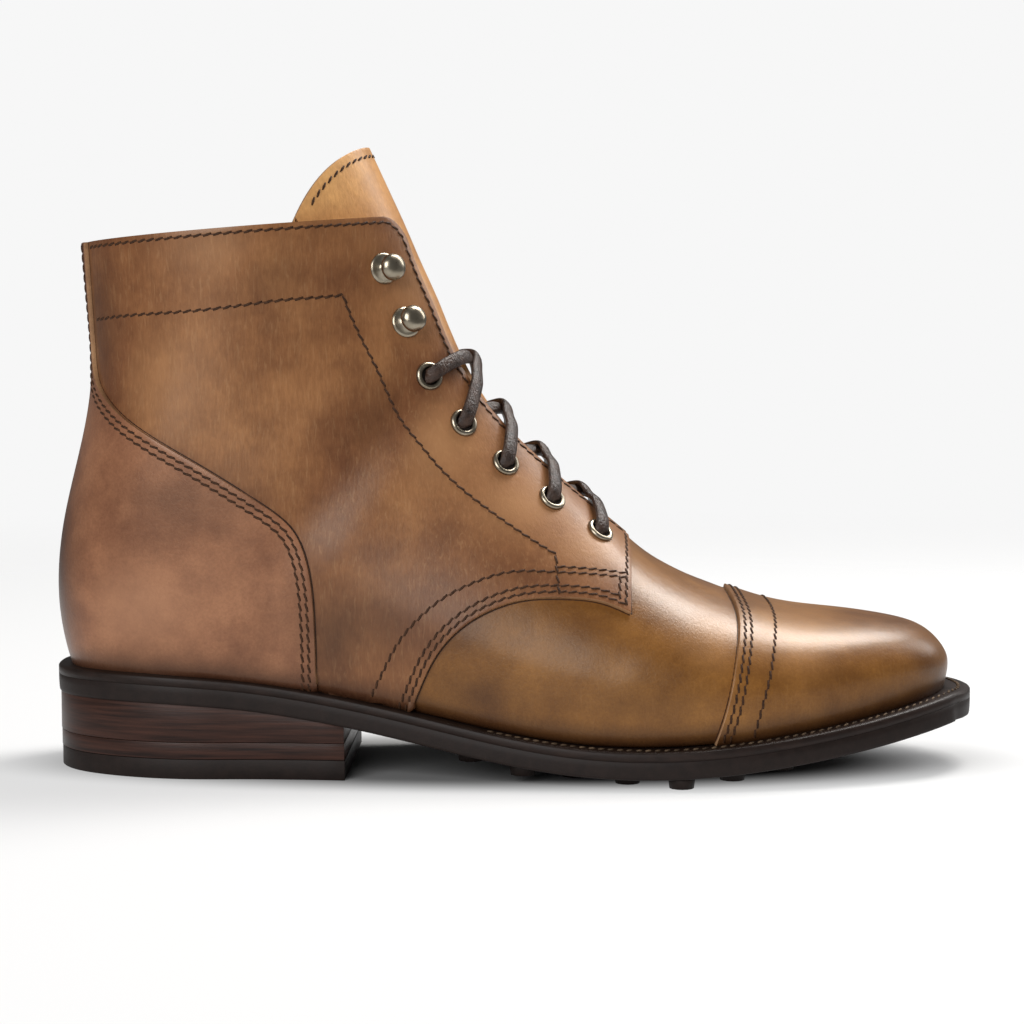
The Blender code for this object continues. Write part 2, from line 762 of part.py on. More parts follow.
def make_outsole():
    stations = outline_stations(TOE, OUTLINE_STEPS)
    top = outline_rows([1.0, -WELT_INSET], 2 * GAP + WELT_THICK, stations)
    bottom = outline_rows([0.96, -WELT_INSET], SOLE_THICK, stations)
    sole = add_piece("outsole", slab(top, bottom), "sole_rubber")
    return join(sole, make_studs(), "UNION")


def heel_loop(level, stations):
    """Heel outline at a level above the floor, drawn in towards the floor, with its hollow breast."""
    inset = HEEL_INSET + HEEL_TAPER * (1 - level / HEEL_SEAT)
    pairs = []
    for station in stations:
        pair = []
        for side in (OUTER, INNER):
            edge = plan_point(station, side, 1.0)
            pair.append(Vector((edge.x + inset * 0.5, edge.y - side * inset)))
        pairs.append(pair)
    pairs[-1] = [Vector((p.x + inset * 0.5, 0.0)) for p in pairs[-1]]
    return pairs


def heel_layer(name, bottom, top, finish):
    """One lift of the heel between two levels. A top of None follows the sole above."""
    first = station_at(HEEL_LENGTH)
    stations = outline_stations(first, 8)
    lows = heel_loop(bottom, stations)
    low_pairs = [[Vector((p.x, p.y, bottom)) for p in pair] for pair in lows]
    highs = heel_loop(top or 20.0, stations)
    high_pairs = []
    for pair in highs:
        level = top or sole_under(pair[0].x) - GAP
        high_pairs.append([Vector((p.x, p.y, level)) for p in pair])
    return add_piece(name, slab(high_pairs, low_pairs), finish)


def sole_under(x):
    """Height of the outsole's under face at x, allowing for the sole's slope."""
    place = sole_place(Vector((x, 0)), SOLE_THICK)
    place = sole_place(Vector((2 * x - place.x, 0)), SOLE_THICK)
    return place.z


def make_heel():
    lower = TOP_LIFT_THICK + GAP
    upper = lower + LOWER_LIFT_THICK
    heel_layer("heel_top_lift", 0.0, TOP_LIFT_THICK, "sole_rubber")
    heel_layer("heel_lift_lower", lower, upper, "stacked_leather")
    heel_layer("heel_lift_upper", upper + GAP, None, "stacked_leather")


# Eyelets, hooks and lace along the facings

LACE_SIDES = 6


def fastening_stations():
    """Stations of the eyelets and hooks, walked up the facing at an even pitch."""
    station = 8.37
    found = [station]
    place = facing_place(station, OUTER, EYELET_SETBACK, 0)
    while len(found) < EYELET_COUNT + HOOK_COUNT:
        station += 0.01
        here = facing_place(station, OUTER, EYELET_SETBACK, 0)
        if (here - place).length >= EYELET_PITCH:
            found.append(station)
            place = here
    return found


def facing_place(station, side, setback, height):
    """Point at a setback from the facing's edge and a height over the upper."""
    share = share_from_ridge(station, side, FACING_CURVE(station) + setback)
    return lifted(station, share, side, height)


def facing_frame(station, side, height):
    """Placing matrix of an eyelet or hook: its axis stands square on the facing."""
    share = share_from_ridge(station, side, FACING_CURVE(station) + EYELET_SETBACK)
    axis = last_normal(station, share, side)
    turn = axis.to_track_quat("Z", "Y").to_matrix().to_4x4()
    return Matrix.Translation(lifted(station, share, side, height)) @ turn


def turned(shape, profile, frame, segments):
    """Adds a turned ring or knob: the profile's (radius, height) points spun about the frame's axis."""
    verts = [shape.verts.new((radius, 0, height)) for radius, height in profile]
    edges = [shape.edges.new(pair) for pair in zip(verts, verts[1:] + verts[:1])]
    made = bmesh.ops.spin(
        shape,
        geom=verts + edges,
        cent=(0, 0, 0),
        axis=(0, 0, 1),
        angle=2 * math.pi,
        steps=segments,
        use_merge=True,
    )
    bmesh.ops.remove_doubles(shape, verts=shape.verts, dist=WELD)
    shape.transform(frame)


SEAT_CLEAR = 0.4  # air under the hardware
HOOK_SINK = [0.7, 0.0]  # the facets lie this much lower at the lower hooks
PANEL_TOP = GAP + PANEL + SEAT_CLEAR  # where hardware rests above the upper
EYELET_PROFILE = [
    (EYELET_HOLE, 0.9),
    (4.0, 1.1),
    (4.8, 0.0),
    (EYELET_BARREL, 0.0),
    (EYELET_BARREL, -3.2),
    (EYELET_HOLE, -3.2),
]
HOOK_PROFILE = [
    (0.0, 0.0),
    (5.2, 0.0),
    (2.0, 1.4),
    (1.8, 4.2),
    (4.2, 4.8),
    (4.4, 6.4),
    (2.6, 7.9),
    (0.0, 8.3),
]
SIDE_NAMES = {OUTER: "outer", INNER: "inner"}


def make_fastenings():
    stations = fastening_stations()
    for side in (OUTER, INNER):
        for number, station in enumerate(stations):
            shape = bmesh.new()
            hook = number - EYELET_COUNT
            if hook < 0:
                turned(shape, EYELET_PROFILE, facing_frame(station, side, PANEL_TOP), 8)
                name = f"eyelet_{SIDE_NAMES[side]}_{number + 1}"
            else:
                seat = PANEL_TOP - HOOK_SINK[hook]
                turned(shape, HOOK_PROFILE, facing_frame(station, side, seat), 8)
                name = f"hook_{SIDE_NAMES[side]}_{hook + 1}"
            add_piece(name, shape, "antique_nickel")


def make_hole_helper():
    """Helper with a pin through the leather at every eyelet."""
    helper = bmesh.new()
    for side in (OUTER, INNER):
        for station in fastening_stations()[:EYELET_COUNT]:
            pin = bmesh.new()
            radius = EYELET_BARREL + GAP
            bmesh.ops.create_cone(
                pin, cap_ends=True, segments=8, radius1=radius, radius2=radius, depth=12.0
            )
            pin.transform(facing_frame(station, side, 0.0))
            mesh = bpy.data.meshes.new("pin")
            pin.to_mesh(mesh)
            pin.free()
            helper.from_mesh(mesh)
            bpy.data.meshes.remove(mesh)
    return hide(add_piece("hole_helper", helper, "antique_nickel"))


def strand(name, path):
    """Flat oval lace through (point, up) stops."""
    shape = bmesh.new()
    loops = []
    for i, (point, up) in enumerate(path):
        ahead = path[min(i + 1, len(path) - 1)][0] - path[max(i - 1, 0)][0]
        wide = ahead.cross(up).normalized()
        rise = wide.cross(ahead).normalized()
        loop = []
        for k in range(LACE_SIDES):
            angle = 2 * math.pi * (k + 0.5) / LACE_SIDES
            across_lace = wide * (math.cos(angle) * LACE_WIDTH / 2)
            loop.append(shape.verts.new(point + across_lace + rise * (math.sin(angle) * LACE_THICK / 2)))
        loops.append(loop)
    for first, second in zip(loops, loops[1:]):
        for k in range(LACE_SIDES):
            n = (k + 1) % LACE_SIDES
            shape.faces.new([first[k], first[n], second[n], second[k]])
    shape.faces.new(loops[0])
    shape.faces.new(loops[-1])
    return add_piece(name, shape, "waxed_cotton")


LaceStop = namedtuple("LaceStop", "travel reach height")
# A strand from its eyelet over the throat: how far it has climbed to the next pair, where it is across
# (-2 its own eyelet, -1 its facing's edge, 0 the middle, 1 the far edge, 2 the far eyelet) and its
# height over the upper
STRAND_UNDER = [
    LaceStop(0.0, -2.0, 4.6),
    LaceStop(0.12, -1.5, 4.1),
    LaceStop(0.24, -1.0, 3.9),
    LaceStop(0.36, -0.5, 2.6),
    LaceStop(0.48, 0.0, 1.7),
    LaceStop(0.56, 0.3, 1.0),
]
STRAND_OVER = STRAND_UNDER[:5] + [
    LaceStop(0.60, 0.5, 2.6),
    LaceStop(0.72, 1.0, 3.9),
    LaceStop(0.86, 1.5, 4.1),
    LaceStop(1.0, 2.0, 4.6),
]


def lace_path(first, second, side, stops):
    """Stops as (point, up) for a strand that climbs from one pair of eyelets towards the next."""
    path = []
    for stop in stops:
        station = first + (second - first) * stop.travel
        here = side if stop.reach < 0 else -side
        reach = abs(stop.reach)
        gap = FACING_CURVE(station)
        arc = gap * min(reach, 1.0) + EYELET_SETBACK * max(reach - 1.0, 0.0)
        share = share_from_ridge(station, here, arc)
        path.append((lifted(station, share, here, stop.height), last_normal(station, share, here)))
    return path


def make_lace():
    """One crossing between each pair of eyelets and the next: two strands joined in the middle."""
    stations = fastening_stations()[:EYELET_COUNT]
    for number, (first, second) in enumerate(zip(stations, stations[1:])):
        stops = STRAND_OVER if number == EYELET_COUNT - 2 else STRAND_UNDER
        cross = strand(f"lace_cross_{number + 1}", lace_path(first, second, OUTER, stops))
        other = strand(f"strand_helper_{number + 1}", lace_path(first, second, INNER, stops))
        join(cross, hide(other), "UNION")


def main():
    clear_scene()
    make_outsole()
    make_welt()
    make_heel()
    make_insole()
    pins = make_hole_helper()
    join(make_upper(), pins, "DIFFERENCE")
    make_toe_cap()
    cutter = quarter_cutter()
    trim = foot_cutter()
    for name, side in (("quarter_outer", OUTER), ("quarter_inner", INNER)):
        quarter = make_quarter(name, side, cutter)
        join(quarter, trim, "DIFFERENCE")
        join(quarter, pins, "DIFFERENCE")
    join(make_counter(), trim, "DIFFERENCE")
    make_tongue()
    make_fastenings()
    make_lace()


main()
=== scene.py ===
# %% [markdown]
# # A brown lace-up boot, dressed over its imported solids
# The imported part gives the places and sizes. This lesson lays fine leather, thread, lace and metal over it.
# Every piece is worked out in millimetres from the heel's back, as a maker would measure it, and is brought
# to metres about the part's origin at the end.

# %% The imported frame
import math
from collections import namedtuple
from functools import lru_cache

import bmesh
import bpy
import numpy as np
from mathutils import Matrix, Vector


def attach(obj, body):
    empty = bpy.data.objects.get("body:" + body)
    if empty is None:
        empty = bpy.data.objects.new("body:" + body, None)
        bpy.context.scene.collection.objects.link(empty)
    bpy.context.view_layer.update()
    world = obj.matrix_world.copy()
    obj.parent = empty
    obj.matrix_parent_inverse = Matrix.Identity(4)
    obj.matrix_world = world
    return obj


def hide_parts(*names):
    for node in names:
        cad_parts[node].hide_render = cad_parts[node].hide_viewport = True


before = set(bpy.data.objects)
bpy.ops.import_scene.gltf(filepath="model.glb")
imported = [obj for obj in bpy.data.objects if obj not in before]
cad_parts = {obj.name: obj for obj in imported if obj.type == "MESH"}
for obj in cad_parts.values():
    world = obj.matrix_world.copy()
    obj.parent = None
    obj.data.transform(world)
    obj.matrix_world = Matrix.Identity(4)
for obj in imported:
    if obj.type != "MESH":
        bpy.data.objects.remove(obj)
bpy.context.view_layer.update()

MM = 0.001
ORIGIN = Vector((154.6, -2.6, 0.0))  # part's origin, from the heel's back on the floor
OUTER, INNER = -1, 1

# %% [markdown]
# ## Camera
# The picture was taken from the outer side, a little above the middle of the boot and a short way back, so
# the far side shows a little. A long lens at the same distance gives the same perspective.

# %% Camera
CAMERA_BACK = 800.0
CAMERA_UP = 150.0
AIM = Vector((153.5, 0.0, 84.7))
camera = bpy.data.objects.new("camera", bpy.data.cameras.new("camera"))
bpy.context.scene.collection.objects.link(camera)
camera.location = (Vector((AIM.x, -CAMERA_BACK, CAMERA_UP)) - ORIGIN) * MM
look = (AIM - ORIGIN) * MM - camera.location
camera.rotation_euler = look.to_track_quat("-Z", "Y").to_euler()
camera.data.lens = 83.0
camera.data.sensor_width = 36.0
bpy.context.scene.camera = camera
print("camera at", [round(v, 3) for v in camera.location])

# %% [markdown]
# ## The last
# A boot is pulled over a last, a wooden foot. Its shape is a row of sections from the toe to the collar. Each
# starts at the sole, or at the back seam behind the heel, and ends on the ridge that runs up the instep.
# A smooth curve through the rows gives a section anywhere, and a share of its length gives a point on it.

# %% Sections of the last
SoleRow = namedtuple("SoleRow", "x z")
SOLE_PROFILE = [
    SoleRow(0, 34.4),
    SoleRow(36, 34.3),
    SoleRow(64, 32.4),
    SoleRow(92, 28.4),
    SoleRow(120, 23.0),
    SoleRow(146, 17.6),
    SoleRow(172, 13.7),
    SoleRow(197, 12.5),
    SoleRow(222, 13.7),
    SoleRow(246, 16.5),
    SoleRow(268, 19.9),
    SoleRow(300, 26.1),
]
Section = namedtuple("Section", "name top_x top_z wide_out wide_in wide_at ridge_y crown fullness")
SECTIONS = [
    Section("toe_tip", 300.4, 32.6, 0, 0, 0.42, 0.0, 2.20, 2.0),
    Section("toe_nose", 299.6, 37.2, 9.9, 10.2, 0.42, 0.2, 2.20, 2.0),
    Section("toe_round", 293.4, 44.0, 19.2, 20.4, 0.42, 0.5, 2.20, 2.0),
    Section("toe_front", 282.0, 47.7, 28.4, 30.8, 0.41, 1.0, 2.20, 2.0),
    Section("toe_cap", 264.5, 50.1, 38.2, 40.4, 0.39, 1.5, 2.15, 2.0),
    Section("cap_edge", 244.0, 52.7, 46.2, 46.6, 0.37, 2.0, 2.10, 2.0),
    Section("tread", 223.0, 59.4, 51.4, 48.2, 0.34, 2.5, 2.05, 2.0),
    Section("ball", 203.0, 68.5, 52.6, 46.0, 0.32, 3.0, 2.00, 2.0),
    Section("vamp_point", 189.0, 79.8, 50.6, 41.2, 0.30, 3.0, 1.85, 2.0),
    Section("waist_front", 174.5, 93.4, 46.6, 37.0, 0.29, 2.5, 1.75, 2.0),
    Section("waist", 161.0, 106.8, 42.6, 35.2, 0.30, 2.0, 1.75, 2.0),
    Section("breast", 150.4, 119.0, 39.4, 34.8, 0.32, 1.5, 1.75, 2.0),
    Section("ankle_front", 143.4, 129.4, 37.6, 34.8, 0.36, 1.0, 1.75, 2.1),
    Section("ankle", 138.8, 138.2, 36.8, 34.8, 0.40, 0.5, 1.75, 2.2),
    Section("heel_side", 135.6, 145.4, 36.4, 34.8, 0.43, 0.0, 1.75, 2.3),
    Section("heel_turn", 133.2, 151.2, 36.2, 34.8, 0.45, 0.0, 1.75, 2.35),
    Section("heel_back", 131.3, 156.0, 36.0, 34.8, 0.46, 0.0, 1.75, 2.4),
    Section("seam_low", 129.4, 160.4, 35.7, 34.6, 0.46, 0.0, 1.75, 2.35),
    Section("seam_heel", 127.4, 164.8, 35.3, 34.4, 0.46, 0.0, 1.75, 2.25),
    Section("seam_mid", 125.2, 169.6, 35.0, 34.4, 0.46, 0.0, 1.75, 2.15),
    Section("seam_ankle", 123.2, 174.2, 35.0, 34.6, 0.465, 0.0, 1.75, 2.05),
    Section("seam_top", 121.5, 178.2, 35.4, 35.0, 0.47, 0.0, 1.75, 2.0),
    Section("seam_cuff", 120.2, 181.2, 36.0, 35.6, 0.48, 0.0, 1.75, 2.0),
    Section("collar", 118.9, 184.2, 36.6, 36.2, 0.485, 0.0, 1.75, 2.0),
]
Feather = namedtuple("Feather", "x half_out half_in")
FEATHER = [
    Feather(299.0, 0, 0),
    Feather(297.4, 9.3, 9.6),
    Feather(291.6, 17.6, 18.8),
    Feather(281.0, 25.8, 28.2),
    Feather(264.0, 34.8, 37.2),
    Feather(243.0, 42.4, 43.0),
    Feather(220.0, 47.4, 44.6),
    Feather(196.0, 48.6, 42.0),
    Feather(172.0, 46.8, 36.4),
    Feather(146.0, 42.4, 30.0),
    Feather(118.0, 37.2, 26.6),
    Feather(90.0, 33.6, 27.4),
    Feather(66.0, 32.4, 29.4),
    Feather(48.0, 31.6, 30.0),
    Feather(33.0, 29.0, 28.2),
]
SEAM_FIRST = 12
Seam = namedtuple("Seam", "x z")
SEAM = [
    Seam(36.0, -4.0),
    Seam(24.0, 6.0),
    Seam(16.0, 16.0),
    Seam(11.0, 25.2),
    Seam(7.1, 34.4),
    Seam(4.1, 46.0),
    Seam(2.7, 61.0),
    Seam(4.6, 81.0),
    Seam(9.8, 103.5),
    Seam(14.3, 128.0),
    Seam(13.7, 152.0),
    Seam(11.9, 175.5),
]
TOE, HEEL, COLLAR = 0.0, 16.0, len(SECTIONS) - 1.0
TONGUE_LEAN = Vector((-0.42, 0.0, 0.907))  # the throat's line above the collar


# %% A smooth curve through rows of numbers
class Curve:
    def __init__(self, knots, values):
        self.knots = np.asarray(knots, float)
        self.values = np.asarray(values, float)
        steps = np.diff(self.knots)
        count = len(self.knots)
        system = np.eye(count)
        right = np.zeros_like(self.values)
        for i in range(1, count - 1):
            system[i, i - 1 : i + 2] = steps[i - 1], 2 * (steps[i - 1] + steps[i]), steps[i]
            rise = (self.values[i + 1] - self.values[i]) / steps[i]
            fall = (self.values[i] - self.values[i - 1]) / steps[i - 1]
            right[i] = 6 * (rise - fall)
        self.bends = np.linalg.solve(system, right)

    def __call__(self, at):
        at = min(max(at, self.knots[0]), self.knots[-1])
        i = int(min(np.searchsorted(self.knots, at, "right") - 1, len(self.knots) - 2))
        step = self.knots[i + 1] - self.knots[i]
        far = (at - self.knots[i]) / step
        near = 1 - far
        bend = (near**3 - near) * self.bends[i] + (far**3 - far) * self.bends[i + 1]
        return near * self.values[i] + far * self.values[i + 1] + bend * step * step / 6


SECTION_CURVE = Curve(range(len(SECTIONS)), [row[1:] for row in SECTIONS])
FEATHER_CURVE = Curve(range(len(FEATHER)), FEATHER)
SEAM_CURVE = Curve([SEAM_FIRST + i for i in range(len(SEAM))], SEAM)
SOLE_CURVE = Curve([row.x for row in SOLE_PROFILE], [row.z for row in SOLE_PROFILE])
SOLE_XS = np.arange(0, 301, 1)
SOLE_ZS = np.array([SOLE_CURVE(x) for x in SOLE_XS])

# %% Half of a section
FINE = 64  # points in each of its two arcs


def half_curve(low, foot, row, side):
    """Points of half a section: an arc out to its widest place, and one in to the ridge."""
    top_x, top_z, wide_out, wide_in, wide_at, ridge_y, crown, fullness = row
    wide = wide_out if side == OUTER else wide_in
    turn = np.linspace(0, math.pi / 2, FINE)
    up_low = wide_at * (1 - np.cos(turn) ** (2 / fullness))
    out_low = foot + (wide - foot) * np.sin(turn) ** (2 / fullness)
    up_high = wide_at + (1 - wide_at) * np.sin(turn) ** (2 / crown)
    out_high = wide * np.cos(turn) ** (2 / crown)
    up = np.concatenate([up_low, up_high[1:]])
    out = np.concatenate([out_low, out_high[1:]])
    x = low[0] + (top_x - low[0]) * up
    z = low[1] + (top_z - low[1]) * up
    return np.stack([x, side * out + ridge_y * up, z], 1)


def trimmed(points):
    """Cuts off the points below the sole."""
    above = points[:, 2] - np.interp(points[:, 0], SOLE_XS, SOLE_ZS)
    first = int(np.argmax(above > 0))
    if first == 0:
        return points
    share = above[first - 1] / (above[first - 1] - above[first])
    start = points[first - 1] + (points[first] - points[first - 1]) * share
    return np.vstack([start, points[first:]])


def arc_run(points):
    """Length along a row of points, at each of them."""
    return np.concatenate([[0], np.cumsum(np.linalg.norm(np.diff(points, axis=0), axis=1))])


def even_points(points):
    """The same row with its points evenly spaced."""
    run = arc_run(points)
    at = np.linspace(0, run[-1], 3 * FINE)
    return np.stack([np.interp(at, run, points[:, k]) for k in range(3)], 1)


# %% A section at any station
@lru_cache(maxsize=None)
def section(station, side):
    """Points of half a section from the sole, or the back seam, to the ridge, and the run along them."""
    row = SECTION_CURVE(station)
    ease = min(max((station - SEAM_FIRST) / 2, 0), 1)
    heel_part = ease * ease * (3 - 2 * ease)
    points = 0
    if heel_part < 1:
        x, half_out, half_in = FEATHER_CURVE(station)
        foot = half_out if side == OUTER else half_in
        points = (1 - heel_part) * even_points(half_curve((x, SOLE_CURVE(x)), foot, row, side))
    if heel_part > 0:
        curve = half_curve(SEAM_CURVE(station), 0.0, row, side)
        curve = trimmed(curve) if station < HEEL else curve
        points = points + heel_part * even_points(curve)
    return points, arc_run(points)


# %% Points and normals on the last
FOOT_CLEAR = 4.0  # normals are read at least this far above the sole
RIDGE_SHARE = 0.999


def girth(station, side):
    return section(round(min(max(station, TOE), COLLAR), 5), side)[1][-1]


def last_point(station, share, side):
    """Point on the last. Past the collar it goes on along the tongue."""
    points, run = section(round(min(max(station, TOE), COLLAR), 5), side)
    length = share * run[-1]
    place = Vector([np.interp(length, run, points[:, k]) for k in range(3)])
    return place + TONGUE_LEAN * max(0.0, station - COLLAR)


def last_normal(station, share, side):
    """Way out from the last, square to its surface."""
    ds, dt = 0.03, 0.006
    if station < HEEL:
        share = max(share, FOOT_CLEAR / girth(station, side))
    share_low, share_high = max(share - dt, 0.0), min(share + dt, 1.0)
    station_low = station if station - ds < TOE or HEEL <= station < HEEL + ds else station - ds
    along = last_point(station + ds, share, side) - last_point(station_low, share, side)
    around = last_point(station, share_high, side) - last_point(station, share_low, side)
    if share > RIDGE_SHARE:
        around = Vector((0, -side, 0))
    return (along.cross(around) * side).normalized()


def lifted(station, share, side, height):
    return last_point(station, share, side) + last_normal(station, share, side) * height


def share_from_ridge(station, side, arc):
    return 1 - arc / girth(station, side)


print("girth at the ball, one side:", round(girth(7.0, OUTER), 1), "mm")

# %% [markdown]
# ## Panels
# A flat grid is the pattern piece. Each of its points is laid on the last at a station and a share, and the
# sheet is then lifted by the thickness of what lies under it. The pattern pieces' edges are drawn in side
# view, as they were measured from the picture, and each section is followed up to the edge.

# %% Side view edges of the panels
EdgePoint = namedtuple("EdgePoint", "x z")
CAP_EDGE = [
    EdgePoint(224.6, 80),
    EdgePoint(225.4, 62),
    EdgePoint(227.6, 54),
    EdgePoint(227.0, 46),
    EdgePoint(225.1, 37),
    EdgePoint(222.4, 25),
    EdgePoint(219.2, 15),
    EdgePoint(216.0, 5),
]
COUNTER_EDGE = [
    EdgePoint(89.8, 20),
    EdgePoint(89.8, 37),
    EdgePoint(89.3, 53),
    EdgePoint(87.5, 69),
    EdgePoint(82.0, 81.7),
    EdgePoint(70.4, 91.3),
    EdgePoint(51.0, 103.4),
    EdgePoint(30.7, 115.4),
    EdgePoint(20.5, 124.5),
    EdgePoint(16.2, 134),
    EdgePoint(14.8, 156),
    EdgePoint(13.4, 190),
]


def fine_edge(points):
    curve = Curve(range(len(points)), points)
    return np.array([curve(t) for t in np.linspace(0, len(points) - 1, 12 * len(points))])


CAP_LINE = fine_edge(CAP_EDGE)
COUNTER_LINE = fine_edge(COUNTER_EDGE)


# %% Where the last meets an edge
COUNTER_SPAN = (9, 13)  # stations between which the counter's edge meets the sole


def first_zero(values):
    """How far along a row its values first change sign, as a share of the row."""
    sign = np.sign(values)
    change = np.nonzero(np.diff(sign))[0]
    if not len(change):
        return None
    i = change[0]
    return (i + values[i] / (values[i] - values[i + 1])) / (len(values) - 1)


@lru_cache(maxsize=None)
def counter_share(station, side):
    """Share of a section where it leaves the heel counter."""
    points = even_points(section(round(station, 5), side)[0])
    beyond = points[:, 0] - np.interp(points[:, 2], COUNTER_LINE[:, 1], COUNTER_LINE[:, 0])
    return 0.0 if beyond[0] > 0 else first_zero(beyond) or 1.0


HALVINGS = 30


def halved(low, high, before_it):
    """Closes in on the station up to which a question is answered yes."""
    for _ in range(HALVINGS):
        middle = (low + high) / 2
        low, high = (middle, high) if before_it(middle) else (low, middle)
    return low


def edge_station(line, share, side, low, high):
    """Station where the line at this share crosses an edge drawn as x over height."""
    order = np.argsort(line[:, 1])

    def ahead(station):
        place = last_point(station, share, side)
        return place.x > np.interp(place.z, line[order, 1], line[order, 0])

    return halved(low, high, ahead)


def station_at(x, side):
    """Station where the feather edge passes a place along the boot."""
    return halved(TOE, HEEL, lambda station: last_point(station, 0.0, side).x > x)


# %% Edge of the facing
GapRow = namedtuple("GapRow", "station arc")
FACING_GAP = [
    GapRow(0, 6.0),
    GapRow(7.6, 7.2),
    GapRow(8.7, 8.4),
    GapRow(10, 9.6),
    GapRow(12, 10.8),
    GapRow(20, 11.2),
    GapRow(23, 12.4),
]
FACING_CURVE = Curve([row.station for row in FACING_GAP], [row.arc for row in FACING_GAP])
CORNER = 7.0  # round of the collar's front corner
CORNER_FIRST = 20.8  # station where it starts


def facing_share(station, side, inset=0.0):
    """Share of a section at the facing's edge, which is rounded off below the collar."""
    left = CORNER * (1 - max(station - CORNER_FIRST, 0.0) / (COLLAR - CORNER_FIRST))
    cut = CORNER - math.sqrt(max(CORNER**2 - (CORNER - left) ** 2, 0.0))
    return share_from_ridge(station, side, FACING_CURVE(station) + inset + cut)


# %% Columns behind the heel
# Behind the heel the sections start on the seam, and just in front of it they are cut off by the sole. The
# columns of a sheet keep to the whole section there, so that they run on smoothly past the heel.
SKIP_FROM, SKIP_FULL = 9.0, 14.0


@lru_cache(maxsize=None)
def skipped(station, side):
    """Part of a whole section that lies below the sole."""
    if station >= HEEL or station <= SKIP_FROM:
        return 0.0
    whole = half_curve(SEAM_CURVE(max(station, SKIP_FULL)), 0.0, SECTION_CURVE(max(station, SKIP_FULL)), side)
    length, kept = arc_run(whole)[-1], arc_run(trimmed(whole))[-1]
    ease = min((station - SKIP_FROM) / (SKIP_FULL - SKIP_FROM), 1.0)
    return (1 - kept / length) * ease * ease * (3 - 2 * ease)


def up_to(station, side, edge, v):
    """Share at part v of the way up a whole section to an edge."""
    skip = skipped(round(station, 5), side)
    whole = v * (skip + (1 - skip) * edge)
    return max(0.0, (whole - skip) / (1 - skip))


print("counter leaves the sole at station", round(edge_station(COUNTER_LINE, 0.0, OUTER, *COUNTER_SPAN), 2))

# %% [markdown]
# Leather that has been on a foot keeps a few soft waves: across the ankle, where it bends, and across the
# vamp behind the toe cap. They are placed in side view and every layer follows them.

# %% Soft waves in the leather
Wave = namedtuple("Wave", "x z run_x run_z half_length half_width height")
WAVES = [
    Wave(112, 92, 0.94, -0.34, 26, 9.0, -0.20),
    Wave(106, 76, 0.96, -0.28, 24, 9.0, 0.18),
    Wave(84, 112, 0.90, -0.42, 18, 8.0, -0.30),
    Wave(70, 150, 0.20, 0.98, 22, 10.0, -0.35),
    Wave(209, 56, 0.55, 0.84, 16, 5.0, -0.22),
    Wave(200, 46, 0.62, 0.78, 16, 5.0, 0.20),
    Wave(188, 40, 0.70, 0.71, 18, 6.0, -0.18),
]


def wave_height(place):
    height = 0.0
    for wave in WAVES:
        dx, dz = place.x - wave.x, place.z - wave.z
        along = (dx * wave.run_x + dz * wave.run_z) / wave.half_length
        across = (dz * wave.run_x - dx * wave.run_z) / wave.half_width
        height += wave.height * math.exp(-along * along - across * across)
    return height


# %% [markdown]
# Painted shade darkens the leather along the sole, at the back and in the waist, and painted highlights
# lighten the facings, the counter and the vamp; some of the spots also carry the leather's own uneven tone.
# Soft spots in side view mark where, and the shaders read them.

# %% Painted light and shade
Spot = namedtuple("Spot", "x z half_x half_z tone")
TONE_SHADE_AND_SHEEN_SPOTS = [
    Spot(105, 51, 26, 12, -0.42),
    Spot(110, 117, 10, 15, -0.38),
    Spot(76, 165, 11, 12, -0.34),
    Spot(18, 147, 9, 24, -0.45),
    Spot(1, 66, 10, 46, -0.95),
    Spot(47, 92, 24, 9, -0.25),
    Spot(142, 27, 20, 9, -0.40),
    Spot(197, 28, 26, 10, -0.30),
    Spot(172, 44, 12, 8, -0.25),
    Spot(95, 41, 7, 16, -0.35),
    Spot(296, 34, 9, 12, -0.40),
    Spot(129, 109, 13, 13, 0.58),
    Spot(156, 89, 15, 10, 0.58),
    Spot(180, 74, 13, 8, 0.50),
    Spot(32, 56, 18, 14, 0.40),
    Spot(248, 46, 13, 10, 0.32),
    Spot(218, 48, 10, 11, 0.34),
    Spot(37, 130, 13, 16, 0.28),
    Spot(60, 172, 18, 8, 0.34),
    Spot(120, 160, 8, 14, 0.42),
]


def tone_shade_and_sheen(place):
    """Less than 0 where painted shade darkens the leather, more than 0 where a painted highlight lightens it.
    """
    tone = 0.0
    for spot in TONE_SHADE_AND_SHEEN_SPOTS:
        dx, dz = (place.x - spot.x) / spot.half_x, (place.z - spot.z) / spot.half_z
        tone += spot.tone * math.exp(-dx * dx - dz * dz)
    return tone


# %% [markdown]
# ## Laying the leather
# A shoemaker pulls a flat piece over the last and trims it. Here a grid is pulled over in the same way: each
# of its points gets a station and a share, so a panel needs only a rule for its edges. A cloth simulation
# could drape it too, but it would not keep to the edges that were measured.

# %% Laying a pattern piece on the last
SOLE_SHADE, SOLE_SHADE_HEIGHT = 0.85, 6.5  # painted shade along the sole, and how far up it reaches
WELD = 0.004
SOLE_LAP = 1.0  # how far a sheet may reach below the feather edge


